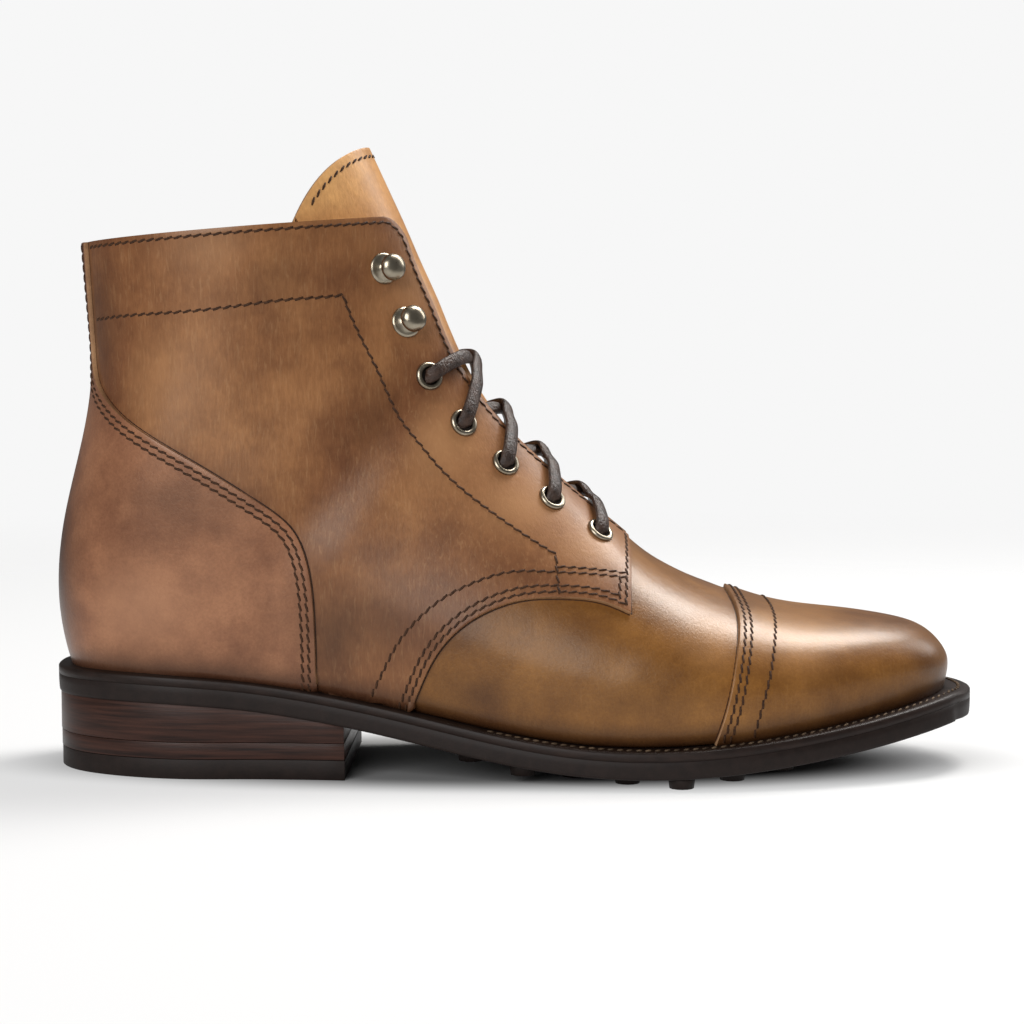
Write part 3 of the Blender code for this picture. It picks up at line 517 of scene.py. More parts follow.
def lay(sheets, rows, columns, place, side):
    """Adds a grid to a bmesh: place gives the (station, share) of each of its points."""
    made = bmesh.ops.create_grid(sheets, x_segments=rows, y_segments=columns, size=0.5)["verts"]
    # Two float attributes carry painted shade and painted highlights to the leather shaders
    painted_shade, painted_light = (sheets.verts.layers.float[name] for name in ("painted_shade", "painted_light"))
    for vert in made:
        station, share = place(vert.co.x + 0.5, vert.co.y + 0.5)
        vert.co = last_point(station, share, side)
        tone = tone_shade_and_sheen(vert.co)
        above = (vert.co.z - SOLE_CURVE(vert.co.x)) / SOLE_SHADE_HEIGHT
        sole_shade = SOLE_SHADE * math.exp(-above * above)
        # painted shade from the band along the sole or a dark spot, painted highlight from the light spots
        vert[painted_shade] = max(sole_shade, -tone)
        vert[painted_light] = max(tone, 0.0)


def new_sheets():
    sheets = bmesh.new()
    # attributes for painted shade and painted highlights
    sheets.verts.layers.float.new("painted_shade")
    sheets.verts.layers.float.new("painted_light")
    return sheets


def lift(sheets, height):
    """Welds the sheets where they meet and raises them square to their surface."""
    bmesh.ops.remove_doubles(sheets, verts=sheets.verts, dist=WELD)
    bmesh.ops.recalc_face_normals(sheets, faces=sheets.faces)
    out = sum(face.normal.y * face.calc_center_median().y for face in sheets.faces)
    if out < 0:
        bmesh.ops.reverse_faces(sheets, faces=sheets.faces)
    sheets.normal_update()
    raised = [vert.co + vert.normal * (height + wave_height(vert.co)) for vert in sheets.verts]
    for vert, place in zip(sheets.verts, raised):
        vert.co = place
        vert.co.z = max(vert.co.z, SOLE_CURVE(vert.co.x) - SOLE_LAP)


# %% Joining a piece to the frame
EDGE_SOFT = 0.35  # round of a cut edge
EDGE_ANGLE = math.radians(50)


def add_piece(name, shape, finishes, slot, *nodes):
    """Brings a shape to metres about the part's origin and joins it to the frame."""
    shape.transform(Matrix.Scale(MM, 4) @ Matrix.Translation(-ORIGIN))
    mesh = bpy.data.meshes.new(name)
    shape.to_mesh(mesh)
    shape.free()
    mesh.shade_smooth()
    for finish in finishes:
        mesh.materials.append(finish)
    piece = bpy.data.objects.new(name, mesh)
    bpy.context.scene.collection.objects.link(piece)
    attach(piece, "root")
    if nodes:
        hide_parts(*nodes)
    return piece


def give_wall(piece, thick, inside=0, rim=0):
    """Thickens a sheet inwards and rounds its cut edges."""
    wall = piece.modifiers.new("wall", "SOLIDIFY")
    wall.thickness = thick * MM
    wall.offset = -1
    wall.material_offset = inside
    wall.material_offset_rim = rim
    round_edge = piece.modifiers.new("round_edge", "BEVEL")
    round_edge.width = EDGE_SOFT * MM
    round_edge.segments = 2
    round_edge.limit_method = "ANGLE"
    round_edge.angle_limit = EDGE_ANGLE


# %% [markdown]
# ## Materials
# Oiled pull-up leather is lighter where it was stretched and darker where wax gathers. It could be painted,
# but noise never repeats and needs no picture. Clouds at two scales give the patches, and fine noises give
# the grain and its pale fibres, stretched so that they run up the shaft.

# %% Noise on a piece
def new_finish(name):
    finish = bpy.data.materials.new(name)
    finish.use_nodes = True
    return finish, finish.node_tree, finish.node_tree.nodes["Principled BSDF"]


def object_place(tree, stretch=(1, 1, 1)):
    coords = tree.nodes.new("ShaderNodeTexCoord")
    mapping = tree.nodes.new("ShaderNodeMapping")
    mapping.inputs["Scale"].default_value = stretch
    tree.links.new(coords.outputs["Object"], mapping.inputs["Vector"])
    return mapping.outputs["Vector"]


def clouds(tree, scale, detail=4.0, rough=0.55, stretch=(1, 1, 1), bend=0.0):
    noise = tree.nodes.new("ShaderNodeTexNoise")
    noise.inputs["Scale"].default_value = scale
    noise.inputs["Detail"].default_value = detail
    noise.inputs["Roughness"].default_value = rough
    noise.inputs["Distortion"].default_value = bend
    tree.links.new(object_place(tree, stretch), noise.inputs["Vector"])
    return noise.outputs["Fac"]


# %% Colours and relief
def ramp(tree, value, stops):
    node = tree.nodes.new("ShaderNodeValToRGB")
    while len(node.color_ramp.elements) < len(stops):
        node.color_ramp.elements.new(0.5)
    for element, (at, colour) in zip(node.color_ramp.elements, stops):
        element.position = at
        element.color = (*colour, 1)
    tree.links.new(value, node.inputs["Fac"])
    return node.outputs["Color"]


def mixed(tree, share, first, second, mode="MIX"):
    node = tree.nodes.new("ShaderNodeMix")
    node.data_type = "RGBA"
    node.blend_type = mode
    for socket, value in ((node.inputs[0], share), (node.inputs[6], first), (node.inputs[7], second)):
        if isinstance(value, bpy.types.NodeSocket):
            tree.links.new(value, socket)
        else:
            socket.default_value = value
    return node.outputs[2]


def between(tree, value, low, high):
    node = tree.nodes.new("ShaderNodeMapRange")
    node.inputs["To Min"].default_value = low
    node.inputs["To Max"].default_value = high
    tree.links.new(value, node.inputs["Value"])
    return node.outputs["Result"]


def relief(tree, shader, value, depth, strength=1.0, under=None):
    bump = tree.nodes.new("ShaderNodeBump")
    bump.inputs["Distance"].default_value = depth
    bump.inputs["Strength"].default_value = strength
    tree.links.new(value, bump.inputs["Height"])
    if under is not None:
        tree.links.new(under, bump.inputs["Normal"])
    tree.links.new(bump.outputs["Normal"], shader.inputs["Normal"])
    return bump.outputs["Normal"]


def attribute(tree, name):
    node = tree.nodes.new("ShaderNodeAttribute")
    node.attribute_name = name
    return node.outputs["Fac"]


# %% Leather of the upper
# Colours of painted light and shade: a lit tan for painted highlights and a dark brown for painted shade; the
# second colour is the pale of the fibres
PAINTED_LIGHT_TAN = (0.42, 0.215, 0.095)
SCUFF = (0.46, 0.27, 0.13)
PAINTED_SHADE_BROWN = (0.030, 0.011, 0.006)
SHADING = 0.55  # strength of the patches and the grain


def shaded(tree, colour, noise, low, dark, high):
    """Darkens a colour where a noise is low."""
    shade = ramp(tree, noise, [(low, dark), (high, (1, 1, 1))])
    return mixed(tree, SHADING, colour, shade, "MULTIPLY")


def leather(name, deep, mid, pale, grain_up=0.22, gloss=0.4, with_light_and_shade=True, streak=0.17, lit_colour=PAINTED_LIGHT_TAN):
    finish, tree, shader = new_finish(name)
    big = clouds(tree, 21, 5, 0.55, bend=0.4)
    colour = ramp(tree, big, [(0.30, deep), (0.50, mid), (0.72, pale)])
    patches = clouds(tree, 80, 5, 0.6)
    colour = shaded(tree, colour, patches, 0.34, (0.52, 0.46, 0.50), 0.60)
    grain = clouds(tree, 1100, 3, 0.65, (1, 1, grain_up), 0.3)
    colour = shaded(tree, colour, grain, 0.35, (0.70, 0.66, 0.64), 0.66)
    fibres = clouds(tree, 1000, 3, 0.55, (1, 1, 0.16), 0.8)
    streaks = ramp(tree, fibres, [(0.54, (0, 0, 0)), (0.72, (streak, streak, streak))])
    colour = mixed(tree, streaks, colour, (*SCUFF, 1))
    # Painted highlights and then painted shade are mixed in where the spots and the band along the sole call
    # for them
    if with_light_and_shade:
        colour = mixed(tree, attribute(tree, "painted_light"), colour, (*lit_colour, 1))
        colour = mixed(tree, attribute(tree, "painted_shade"), colour, (*PAINTED_SHADE_BROWN, 1))
    tree.links.new(colour, shader.inputs["Base Color"])
    tree.links.new(between(tree, patches, gloss - 0.08, gloss + 0.10), shader.inputs["Roughness"])
    shader.inputs["Coat Weight"].default_value = 0.16
    shader.inputs["Coat Roughness"].default_value = 0.25
    shader.inputs["Specular IOR Level"].default_value = 0.34
    shader.inputs["Specular Tint"].default_value = (1.0, 0.80, 0.62, 1)
    pebble = relief(tree, shader, grain, 0.00015, 0.6)
    relief(tree, shader, clouds(tree, 260, 3, 0.5), 0.0003, 0.22, pebble)
    return finish


# %% The six leathers
BROWN = leather("brown_leather", (0.130, 0.047, 0.021), (0.215, 0.088, 0.034), (0.31, 0.140, 0.054))
VAMP_TAN = leather(
    "vamp_leather", (0.105, 0.037, 0.008), (0.190, 0.077, 0.015), (0.28, 0.122, 0.027),
    grain_up=1.0, gloss=0.36, streak=0.05, lit_colour=(0.46, 0.24, 0.10),
)
HEEL_BROWN = leather(
    "counter_leather", (0.160, 0.064, 0.033), (0.270, 0.118, 0.060), (0.36, 0.168, 0.088),
    grain_up=1.0, gloss=0.36, streak=0.03, lit_colour=(0.42, 0.215, 0.12),
)
TONGUE_TAN = leather(
    "tongue_leather", (0.43, 0.20, 0.067), (0.56, 0.28, 0.098), (0.66, 0.365, 0.14), grain_up=0.3
)
LINING = leather(
    "lining_leather", (0.28, 0.17, 0.09), (0.35, 0.22, 0.12), (0.42, 0.28, 0.16),
    grain_up=1.0, gloss=0.6, with_light_and_shade=False,
)
RAW_EDGE = leather(
    "raw_edge", (0.22, 0.115, 0.055), (0.36, 0.20, 0.10), (0.52, 0.31, 0.165),
    grain_up=1.0, gloss=0.55, with_light_and_shade=False,
)
print("leathers:", [m.name for m in (BROWN, VAMP_TAN, HEEL_BROWN, TONGUE_TAN, LINING, RAW_EDGE)])

# %% [markdown]
# The other finishes differ only in colour, gloss and the scale of a noise, so one function makes them all.
# A noise that is stretched flat gives the layers of the heel, and a deep relief gives the plait of the lace.

# %% Thread, lace, metal and sole finishes
def plain_noise(name, dark, light, scale, rough, stretch=(1, 1, 1), depth=0.0001, metal=0.0, shine=0.2):
    finish, tree, shader = new_finish(name)
    tone = clouds(tree, scale, 4, 0.6, stretch)
    tree.links.new(ramp(tree, tone, [(0.3, dark), (0.7, light)]), shader.inputs["Base Color"])
    tree.links.new(between(tree, tone, rough - 0.06, rough + 0.08), shader.inputs["Roughness"])
    shader.inputs["Metallic"].default_value = metal
    shader.inputs["Specular IOR Level"].default_value = shine
    relief(tree, shader, clouds(tree, scale * 4, 3, 0.6, stretch), depth, 0.5)
    return finish


THREAD = plain_noise("dark_thread", (0.022, 0.009, 0.004), (0.060, 0.026, 0.011), 900, 0.65)
# Painted shadow: the dark strips just outside the panels' edges
PAINTED_EDGE_SHADOW = plain_noise("painted_edge_shadow", (0.020, 0.008, 0.004), (0.050, 0.021, 0.010), 700, 0.55)
# Painted shade: the dark strips under the stitch rows stand for the shade in pressed grooves
GROOVE_SHADE = plain_noise("painted_groove_shade", (0.050, 0.020, 0.009), (0.110, 0.047, 0.019), 500, 0.5)
WELT_THREAD = plain_noise("welt_thread", (0.025, 0.014, 0.008), (0.15, 0.10, 0.06), 300, 0.65)
WAXED = plain_noise(
    "waxed_lace", (0.012, 0.006, 0.004), (0.062, 0.034, 0.023), 330, 0.34, depth=0.0009, shine=0.35
)
NICKEL = plain_noise(
    "antique_nickel", (0.22, 0.185, 0.135), (0.39, 0.345, 0.27), 160, 0.28, metal=1.0, shine=0.5
)
# Painted shade: a nearly black finish for the disc and wall inside the eyelets' holes
HOLE_PAINTED_SHADE = plain_noise("eyelet_hole_painted_shade", (0.006, 0.004, 0.003), (0.012, 0.008, 0.006), 300, 0.8)
EDGE_DARK = plain_noise(
    "welt_edge", (0.008, 0.0040, 0.0028), (0.019, 0.0100, 0.0072), 420, 0.46, (0.3, 0.3, 1)
)
RUBBER = plain_noise("sole_rubber", (0.008, 0.0043, 0.0032), (0.014, 0.0078, 0.0060), 260, 0.52)
STACK = plain_noise(
    "stacked_leather", (0.009, 0.0038, 0.0027), (0.050, 0.019, 0.012), 120, 0.38, (0.25, 0.25, 6)
)
print("finishes in all:", len(bpy.data.materials))

# %% [markdown]
# ## Upper and lining
# The vamp and lining are one wall, open at the collar, down the throat and underneath. One sheet right round
# would pinch at the toe and the heel, so each half is laid on its own, and the two are welded along the
# toe's ridge and the back seam. A Solidify modifier then gives the wall its thickness, inwards.

# %% Upper
WALL = 2.0
THROAT = 7.9  # station where it opens
UPPER_INSET = 1.0  # behind the facing's edge
FRONT_ROWS, REAR_ROWS = 60, 110
SIDE_COLUMNS, RIDGE_COLUMNS = 56, 6
GAP = 0.3
PANEL = 1.5  # a panel and the glue line under it
upper = new_sheets()
for side in (OUTER, INNER):
    edge = facing_share(THROAT, side, UPPER_INSET)

    def front(u, v):
        return THROAT * u, v * edge

    def ridge(u, v):
        return THROAT * u, edge + (1 - edge) * v

    def rear(u, v):
        station = THROAT + (COLLAR - THROAT) * u
        return station, up_to(station, side, facing_share(station, side, UPPER_INSET), v)

    lay(upper, FRONT_ROWS, SIDE_COLUMNS, front, side)
    lay(upper, FRONT_ROWS, RIDGE_COLUMNS, ridge, side)
    lay(upper, REAR_ROWS, SIDE_COLUMNS, rear, side)
lift(upper, 0.0)
upper_piece = add_piece("boot_upper", upper, [VAMP_TAN, LINING, RAW_EDGE], "upper_leather", "upper")
give_wall(upper_piece, WALL, 1, 2)
print("upper faces:", len(upper_piece.data.polygons))

# %% [markdown]
# ## Toe cap
# A second layer of leather covers the toe and ends in a stitched edge across the foot. It could be a groove
# in the vamp, but then the step of its edge would be lost. So it is a sheet of its own, one panel higher,
# whose rows stop where they cross the edge that was measured.

# %% Toe cap
cap_reach = {}
cap = new_sheets()
CAP_ROWS, CAP_COLUMNS = 64, 56
CAP_SPAN = (4.5, 7.5)  # stations between which its edge lies
for side in (OUTER, INNER):
    shares = np.linspace(0, 1, CAP_COLUMNS + 1)
    cap_reach[side] = [edge_station(CAP_LINE, share, side, *CAP_SPAN) for share in shares]

    def cap_place(u, v):
        reach = np.interp(v, shares, cap_reach[side])
        return u * reach, v

    lay(cap, CAP_ROWS, CAP_COLUMNS, cap_place, side)
lift(cap, PANEL)
cap_piece = add_piece("boot_toe_cap", cap, [VAMP_TAN, RAW_EDGE], "panel_leather", "toe_cap")
give_wall(cap_piece, PANEL, 0, 1)
print("cap edge stations:", [round(s, 2) for s in cap_reach[OUTER][::14]])

# %% [markdown]
# ## Quarters
# The two quarters wrap the sides of the foot and carry the eyelets. The lower edge of each sweeps round in a
# curve down to the sole. The first rows of the grid fan out from that curve to the facing, and the others
# follow the sections up the shaft, so no row is cut off and every edge is clean.

# %% Quarters
SeamPoint = namedtuple("SeamPoint", "station share")
QUARTER_FOOT = [
    SeamPoint(7.51, 0.483),
    SeamPoint(8.09, 0.497),
    SeamPoint(8.70, 0.468),
    SeamPoint(9.23, 0.420),
    SeamPoint(9.65, 0.342),
    SeamPoint(9.88, 0.255),
    SeamPoint(9.95, 0.164),
    SeamPoint(9.93, 0.068),
    SeamPoint(9.91, 0.0),
]
FOOT_CURVE = Curve(range(len(QUARTER_FOOT)), QUARTER_FOOT)
# Station on the facing where the row from each of those points ends
QUARTER_TOP = [7.77, 8.35, 8.95, 9.45, 9.80, 10.02, 10.18, 10.30, 10.40]
FRONT_TOP = QUARTER_TOP[0]  # the facing's lower front corner
QUARTER_ROWS, QUARTER_COLUMNS = 170, 54
FAN = 0.4  # part of the rows that fan out from the lower edge


def make_quarter(side):
    sheets = new_sheets()
    behind, behind_top = QUARTER_FOOT[-1].station, QUARTER_TOP[-1]

    def fan_row(u, v):
        point = u / FAN * (len(QUARTER_FOOT) - 1)
        low_station, low = FOOT_CURVE(point)
        high_station = np.interp(point, range(len(QUARTER_TOP)), QUARTER_TOP)
        high = facing_share(high_station, side)
        return low_station + (high_station - low_station) * v, low + (high - low) * v

    def shaft_row(u, v):
        part = (u - FAN) / (1 - FAN)
        low_station = behind + (COLLAR - behind) * part
        high_station = behind_top + (COLLAR - behind_top) * part
        station = low_station + (high_station - low_station) * v
        return station, up_to(station, side, facing_share(high_station, side), v)

    def place(u, v):
        return fan_row(u, v) if u <= FAN else shaft_row(u, v)

    lay(sheets, QUARTER_ROWS, QUARTER_COLUMNS, place, side)
    lift(sheets, PANEL)
    return sheets


for side, name in ((OUTER, "outer"), (INNER, "inner")):
    finishes = [BROWN, RAW_EDGE]
    sheets = make_quarter(side)
    piece = add_piece(f"boot_quarter_{name}", sheets, finishes, "panel_leather", f"quarter_{name}")
    give_wall(piece, PANEL, 0, 1)
    print(name, "quarter faces:", len(piece.data.polygons))

# %% [markdown]
# ## Heel counter
# A stiff piece cups the heel and runs up the back seam as a narrow strip. It lies over the quarters, so it is
# two panels high. Its halves meet on the back seam and are welded there, so that it is one piece.

# %% Heel counter
COUNTER_ROWS, COUNTER_COLUMNS = 70, 44
CLOSER = 1.3  # brings the rows closer together towards the heel
counter = new_sheets()
counter_first = {}
for side in (OUTER, INNER):
    counter_first[side] = edge_station(COUNTER_LINE, 0.0, side, *COUNTER_SPAN)

    def counter_low(u, v):
        station = counter_first[side] + (HEEL - counter_first[side]) * (1 - (1 - u) ** CLOSER)
        return station, up_to(station, side, counter_share(station, side), v)

    def counter_high(u, v):
        station = HEEL + (COLLAR - HEEL) * u
        return station, v * counter_share(station, side)

    lay(counter, COUNTER_ROWS, COUNTER_COLUMNS, counter_low, side)
    lay(counter, COUNTER_ROWS, COUNTER_COLUMNS, counter_high, side)
lift(counter, 2 * PANEL)
counter_piece = add_piece("boot_counter", counter, [HEEL_BROWN, RAW_EDGE], "panel_leather", "heel_counter")
give_wall(counter_piece, PANEL, 0, 1)
print("counter faces:", len(counter_piece.data.polygons))

# %% [markdown]
# ## Tongue
# The tongue lies under the facings and stands up past the collar with a round end. Below the collar it
# follows the last. Above it each column runs on along the line of the throat and stops on a curve, which
# makes the round end without trimming.

# %% Tongue
TONGUE_RISE = 26.6  # above the collar
TONGUE_ROUND = 51.3  # arc from the ridge where the end meets the collar
TONGUE_BEND = 2.2
TONGUE_THICK = 2.4
TONGUE_EDGE = 0.642  # share of its sides
TONGUE_FOOT = 7.3  # station of its lower end
TONGUE_ROWS, TONGUE_END_ROWS, TONGUE_COLUMNS = 90, 24, 20
tongue = new_sheets()


def tongue_top(share, side):
    arc = (1 - share) * girth(COLLAR, side)
    return COLLAR + TONGUE_RISE * (1 - (arc / TONGUE_ROUND) ** TONGUE_BEND)


for side in (OUTER, INNER):

    def tongue_low(u, v):
        return TONGUE_FOOT + (COLLAR - TONGUE_FOOT) * u, TONGUE_EDGE + (1 - TONGUE_EDGE) * v

    def tongue_high(u, v):
        share = TONGUE_EDGE + (1 - TONGUE_EDGE) * v
        return COLLAR + (tongue_top(share, side) - COLLAR) * u, share

    lay(tongue, TONGUE_ROWS, TONGUE_COLUMNS, tongue_low, side)
    lay(tongue, TONGUE_END_ROWS, TONGUE_COLUMNS, tongue_high, side)
lift(tongue, -WALL - GAP)
tongue_piece = add_piece("boot_tongue", tongue, [TONGUE_TAN, LINING, RAW_EDGE], "tongue_leather", "tongue")
give_wall(tongue_piece, TONGUE_THICK, 1, 2)
print("tongue faces:", len(tongue_piece.data.polygons))

# %% [markdown]
# ## Sole, welt and heel
# The welt, outsole and insole follow the line where the upper meets the sole, moved out or in. A grid is
# bent round that line, with one of its directions along the boot and the other round the piece's section.

# %% Outline of the sole
MarginRow = namedtuple("MarginRow", "station outer inner")
WELT_MARGIN = [
    MarginRow(0, 10.6, 10.6),
    MarginRow(3, 10.0, 9.6),
    MarginRow(7, 8.6, 7.6),
    MarginRow(10, 7.0, 5.2),
    MarginRow(13, 6.6, 6.2),
    MarginRow(16, 7.6, 7.6),
]
MARGIN_CURVE = Curve([row.station for row in WELT_MARGIN], [[row.outer, row.inner] for row in WELT_MARGIN])
MIDDLE = -1000.0  # stands for the boot's middle line


@lru_cache(maxsize=None)
def plan_edge(station, side):
    """Feather edge in plan and the way out from it."""
    step = min(0.05, max(HEEL - station, 0) / 3)
    here = last_point(station, 0.0, side).to_2d()
    ahead = last_point(station + step, 0.0, side).to_2d()
    behind = last_point(max(station - step, TOE), 0.0, side).to_2d()
    along = ahead - behind
    if station <= TOE or station >= HEEL:
        along = Vector((0, -side if station >= HEEL else side))
    return here, Vector((along.y, -along.x)).normalized() * side


def sole_point(station, side, spread, depth):
    """Point of the sole: spread 1 is its edge, less than 0 is millimetres inside the feather edge."""
    here, out = plan_edge(round(station, 4), side)
    margin = MARGIN_CURVE(station)[0 if side == OUTER else 1]
    plan = here + out * (margin * spread if spread > 0 else spread)
    if spread == MIDDLE:
        plan = Vector((here.x, 0.0))
    slope = (SOLE_CURVE(plan.x + 1) - SOLE_CURVE(plan.x - 1)) / 2
    square = math.hypot(1, slope)
    return Vector((plan.x + depth * slope / square, plan.y, SOLE_CURVE(plan.x) - depth / square))


# %% A band along the outline
SOLE_WELD = 0.02


def outline_station(u):
    """Stations from toe to heel, closer together towards the heel."""
    return HEEL * (1 - (1 - u) ** 2) if u > 0.5 else HEEL * 1.5 * u


def round_band(rows, profile, first=TOE):
    """Band right across or round the boot through a profile of (spread, depth) points, on both sides."""
    band = bmesh.new()
    for side in (OUTER, INNER):
        made = bmesh.ops.create_grid(band, x_segments=rows, y_segments=len(profile) - 1, size=0.5)["verts"]
        for vert in made:
            station = first + (HEEL - first) * outline_station(vert.co.x + 0.5) / HEEL
            spread, depth = profile[round((vert.co.y + 0.5) * (len(profile) - 1))]
            vert.co = sole_point(station, side, spread, depth)
    bmesh.ops.remove_doubles(band, verts=band.verts, dist=SOLE_WELD)
    bmesh.ops.recalc_face_normals(band, faces=band.faces)
    return band


# %% [markdown]
# ## Welt and outsole
# The welt is the leather strip that the upper is stitched to, and the outsole lies under it. Each is one
# closed profile carried along the outline. A bevel would round the edges as well, but a few more points of
# the profile give each an edge that is eased on one side and sharp on the other.

# %% Welt and outsole
SOLE_ROWS = 150
WELT_IN = -4.0  # inside the feather edge
WELT_THICK, SOLE_TOP, SOLE_THICK = 3.25, 3.3, 9.2
# Profiles: (spread, depth)
WELT_PROFILE = [
    (WELT_IN, GAP), (0.2, 0.1), (0.8, 0.15), (0.95, 0.35), (1.0, 0.9), (1.0, 2.0),
    (1.0, WELT_THICK), (WELT_IN, WELT_THICK), (WELT_IN, GAP),
]
SOLE_SECTION = [
    (MIDDLE, SOLE_TOP), (0.2, SOLE_TOP), (0.99, SOLE_TOP), (1.0, 3.4), (1.0, 5.5), (0.985, 8.2),
    (0.97, 8.9), (0.93, SOLE_THICK), (-1, SOLE_THICK), (MIDDLE, SOLE_THICK),
]
welt = round_band(SOLE_ROWS, WELT_PROFILE)
welt_piece = add_piece("boot_welt", welt, [EDGE_DARK], "welt_leather", "welt")
outsole = round_band(SOLE_ROWS, SOLE_SECTION)
print("welt faces:", len(welt_piece.data.polygons))

# %% [markdown]
# ## Tread
# Round rubber studs stand under the forefoot in staggered rows, and those near the edge show below the sole.
# Short cones are enough for them. Each hangs from the curved sole and stops at the floor where it reaches it.

# %% Tread studs
STUD_PITCH = 17.0
STUD_RADIUS = 4.6
STUD_HEIGHT = 3.7
STUD_TAPER = 0.6
STUD_SUNK = 1.0  # into the sole
STUD_CLEAR = 1.6  # from the sole's edge
STUD_FIRST, STUD_LAST = 140, 296  # along the boot
STUD_ROWS, STUD_COLUMNS = 9, 4  # columns on each side of the middle one

for row in range(STUD_ROWS):
    x = STUD_FIRST + row * STUD_PITCH
    for column in range(-STUD_COLUMNS, STUD_COLUMNS + 1):
        y = (column + 0.5 * (row % 2)) * STUD_PITCH
        side = OUTER if y < 0 else INNER
        edge = abs(sole_point(station_at(x, side), side, 1.0, 0).y)
        if abs(y) > edge - STUD_RADIUS - STUD_CLEAR or x > STUD_LAST:
            continue
        top = SOLE_CURVE(x) - SOLE_THICK
        foot = max(0.0, top - STUD_HEIGHT)
        depth = top + STUD_SUNK - foot
        radii = {"radius1": STUD_RADIUS - STUD_TAPER, "radius2": STUD_RADIUS}
        stud = bmesh.ops.create_cone(outsole, cap_ends=True, segments=14, depth=depth, **radii)["verts"]
        bmesh.ops.translate(outsole, verts=stud, vec=(x, y, foot + depth / 2))
sole_piece = add_piece("boot_outsole", outsole, [RUBBER], "sole_rubber", "outsole")
print("outsole faces:", len(sole_piece.data.polygons))

# %% [markdown]
# ## Insole
# The footbed closes the upper from below. It is a band like the outsole, and its rim reaches a little way
# into the foot of the wall, so that no dark gap shows between them.

# %% Insole
INSOLE_ROWS, INSOLE_FIRST = 120, 0.3
# Profile: (spread, depth)
INSOLE_SECTION = [(MIDDLE, 0.0), (-1.4, 0.0), (-1.0, -1.4), (-1.2, -2.4), (-2.5, -2.6), (MIDDLE, -2.6)]
insole = round_band(INSOLE_ROWS, INSOLE_SECTION, INSOLE_FIRST)
insole_piece = add_piece("boot_insole", insole, [LINING], "insole_leather", "insole")
print("insole faces:", len(insole_piece.data.polygons))

# %% [markdown]
# ## Heel
# Lifts of leather are glued into a stack, shaped and stained, with a rubber top lift on the floor. Each is a
# flat outline raised to its thickness, with its edges eased. One block would do for the shape, but then the
# lines between the lifts would have to be painted on.

# %% Heel lifts
HEEL_LENGTH = 99.0
HEEL_TAPER = 0.9  # how far the sides draw in from the seat to the floor
HEEL_INSET = 0.6  # at the seat, inside the welt's edge
HEEL_SEAT = 24.0
SEAT_LAP = 0.1
LIFT_SOFT = 0.15
RIM_TURN = 0.9  # an edge that turns by more is eased


def heel_outline(level):
    """The heel in plan, a little smaller the lower it is."""
    inset = HEEL_INSET + HEEL_TAPER * (1 - level / HEEL_SEAT)
    breast = station_at(HEEL_LENGTH, OUTER)
    loop = []
    for side in (OUTER, INNER):
        stations = breast + (HEEL - breast) * (1 - (1 - np.linspace(0, 1, 40)) ** 2)
        half = []
        for station in stations:
            place = sole_point(station, side, 1.0, 0)
            half.append(Vector((place.x + inset * 0.5, place.y - side * inset, 0)))
        half[-1].y = 0
        loop += half if side == OUTER else half[-2::-1]
    return loop


def heel_lift(name, bottom, top, finish, slot, node):
    lift_shape = bmesh.new()
    floor_up = Vector((0, 0, bottom))
    loop = [lift_shape.verts.new(place + floor_up) for place in heel_outline(bottom)]
    face = lift_shape.faces.new(loop)
    raised = bmesh.ops.extrude_face_region(lift_shape, geom=[face])["geom"]
    for vert in (item for item in raised if isinstance(item, bmesh.types.BMVert)):
        vert.co.z = top if top else SOLE_CURVE(vert.co.x) - SOLE_THICK + SEAT_LAP
    bmesh.ops.recalc_face_normals(lift_shape, faces=lift_shape.faces)
    rims = [edge for edge in lift_shape.edges if edge.calc_face_angle() > RIM_TURN]
    bmesh.ops.bevel(
        lift_shape, geom=rims, offset=LIFT_SOFT, segments=2, profile=0.5, affect="EDGES", material=-1
    )
    piece = add_piece(name, lift_shape, [finish], slot, node)
    piece.data.set_sharp_from_angle(angle=math.radians(40))


Lift = namedtuple("Lift", "name bottom top finish slot node")
LIFTS = [
    Lift("boot_top_lift", 0.0, 6.5, RUBBER, "sole_rubber", "heel_top_lift"),
    Lift("boot_lift_lower", 6.7, 12.1, STACK, "heel_stack", "heel_lift_lower"),
    Lift("boot_lift_upper", 12.3, None, STACK, "heel_stack", "heel_lift_upper"),  # up to the sole
]
for row in LIFTS:
    heel_lift(*row)
print("heel height:", round(SOLE_CURVE(50) - SOLE_THICK, 1), "mm")

# %% [markdown]
# ## Fastenings
# Eyelets and hooks are turned and pressed parts, so a small profile is spun about their axis. They stand
# square on the facing, at an even pitch up its edge. A torus would give only a ring: the turned profile also
# has the flange and a disc that closes the eyelet's hole, coloured nearly black as painted shade.

# %% Places of the eyelets and hooks
EYELET_PITCH = 19.3
SETBACK = 13.6
FIRST_EYELET = 8.37
EYELETS, HOOKS = 5, 2  # on each facing
WALK_STEP = 0.01
GAP_LAST = 20  # station above which the facing's gap counts as even


def facing_place(station, side, height):
    share = share_from_ridge(station, side, FACING_CURVE(min(station, GAP_LAST)) + SETBACK)
    return lifted(station, share, side, height), last_normal(station, share, side)


fastenings = [FIRST_EYELET]
here = facing_place(FIRST_EYELET, OUTER, 0)[0]
walk = FIRST_EYELET
while len(fastenings) < EYELETS + HOOKS:
    walk += WALK_STEP
    there = facing_place(walk, OUTER, 0)[0]
    if (there - here).length >= EYELET_PITCH:
        fastenings.append(walk)
        here = there
print("fastening stations:", [round(s, 2) for s in fastenings])


# %% Turning
TURN_STEPS = 28
HOLE_RADIUS, HOLE_HEIGHT = 2.9, 0.6
STAND = 0.05  # above the panel


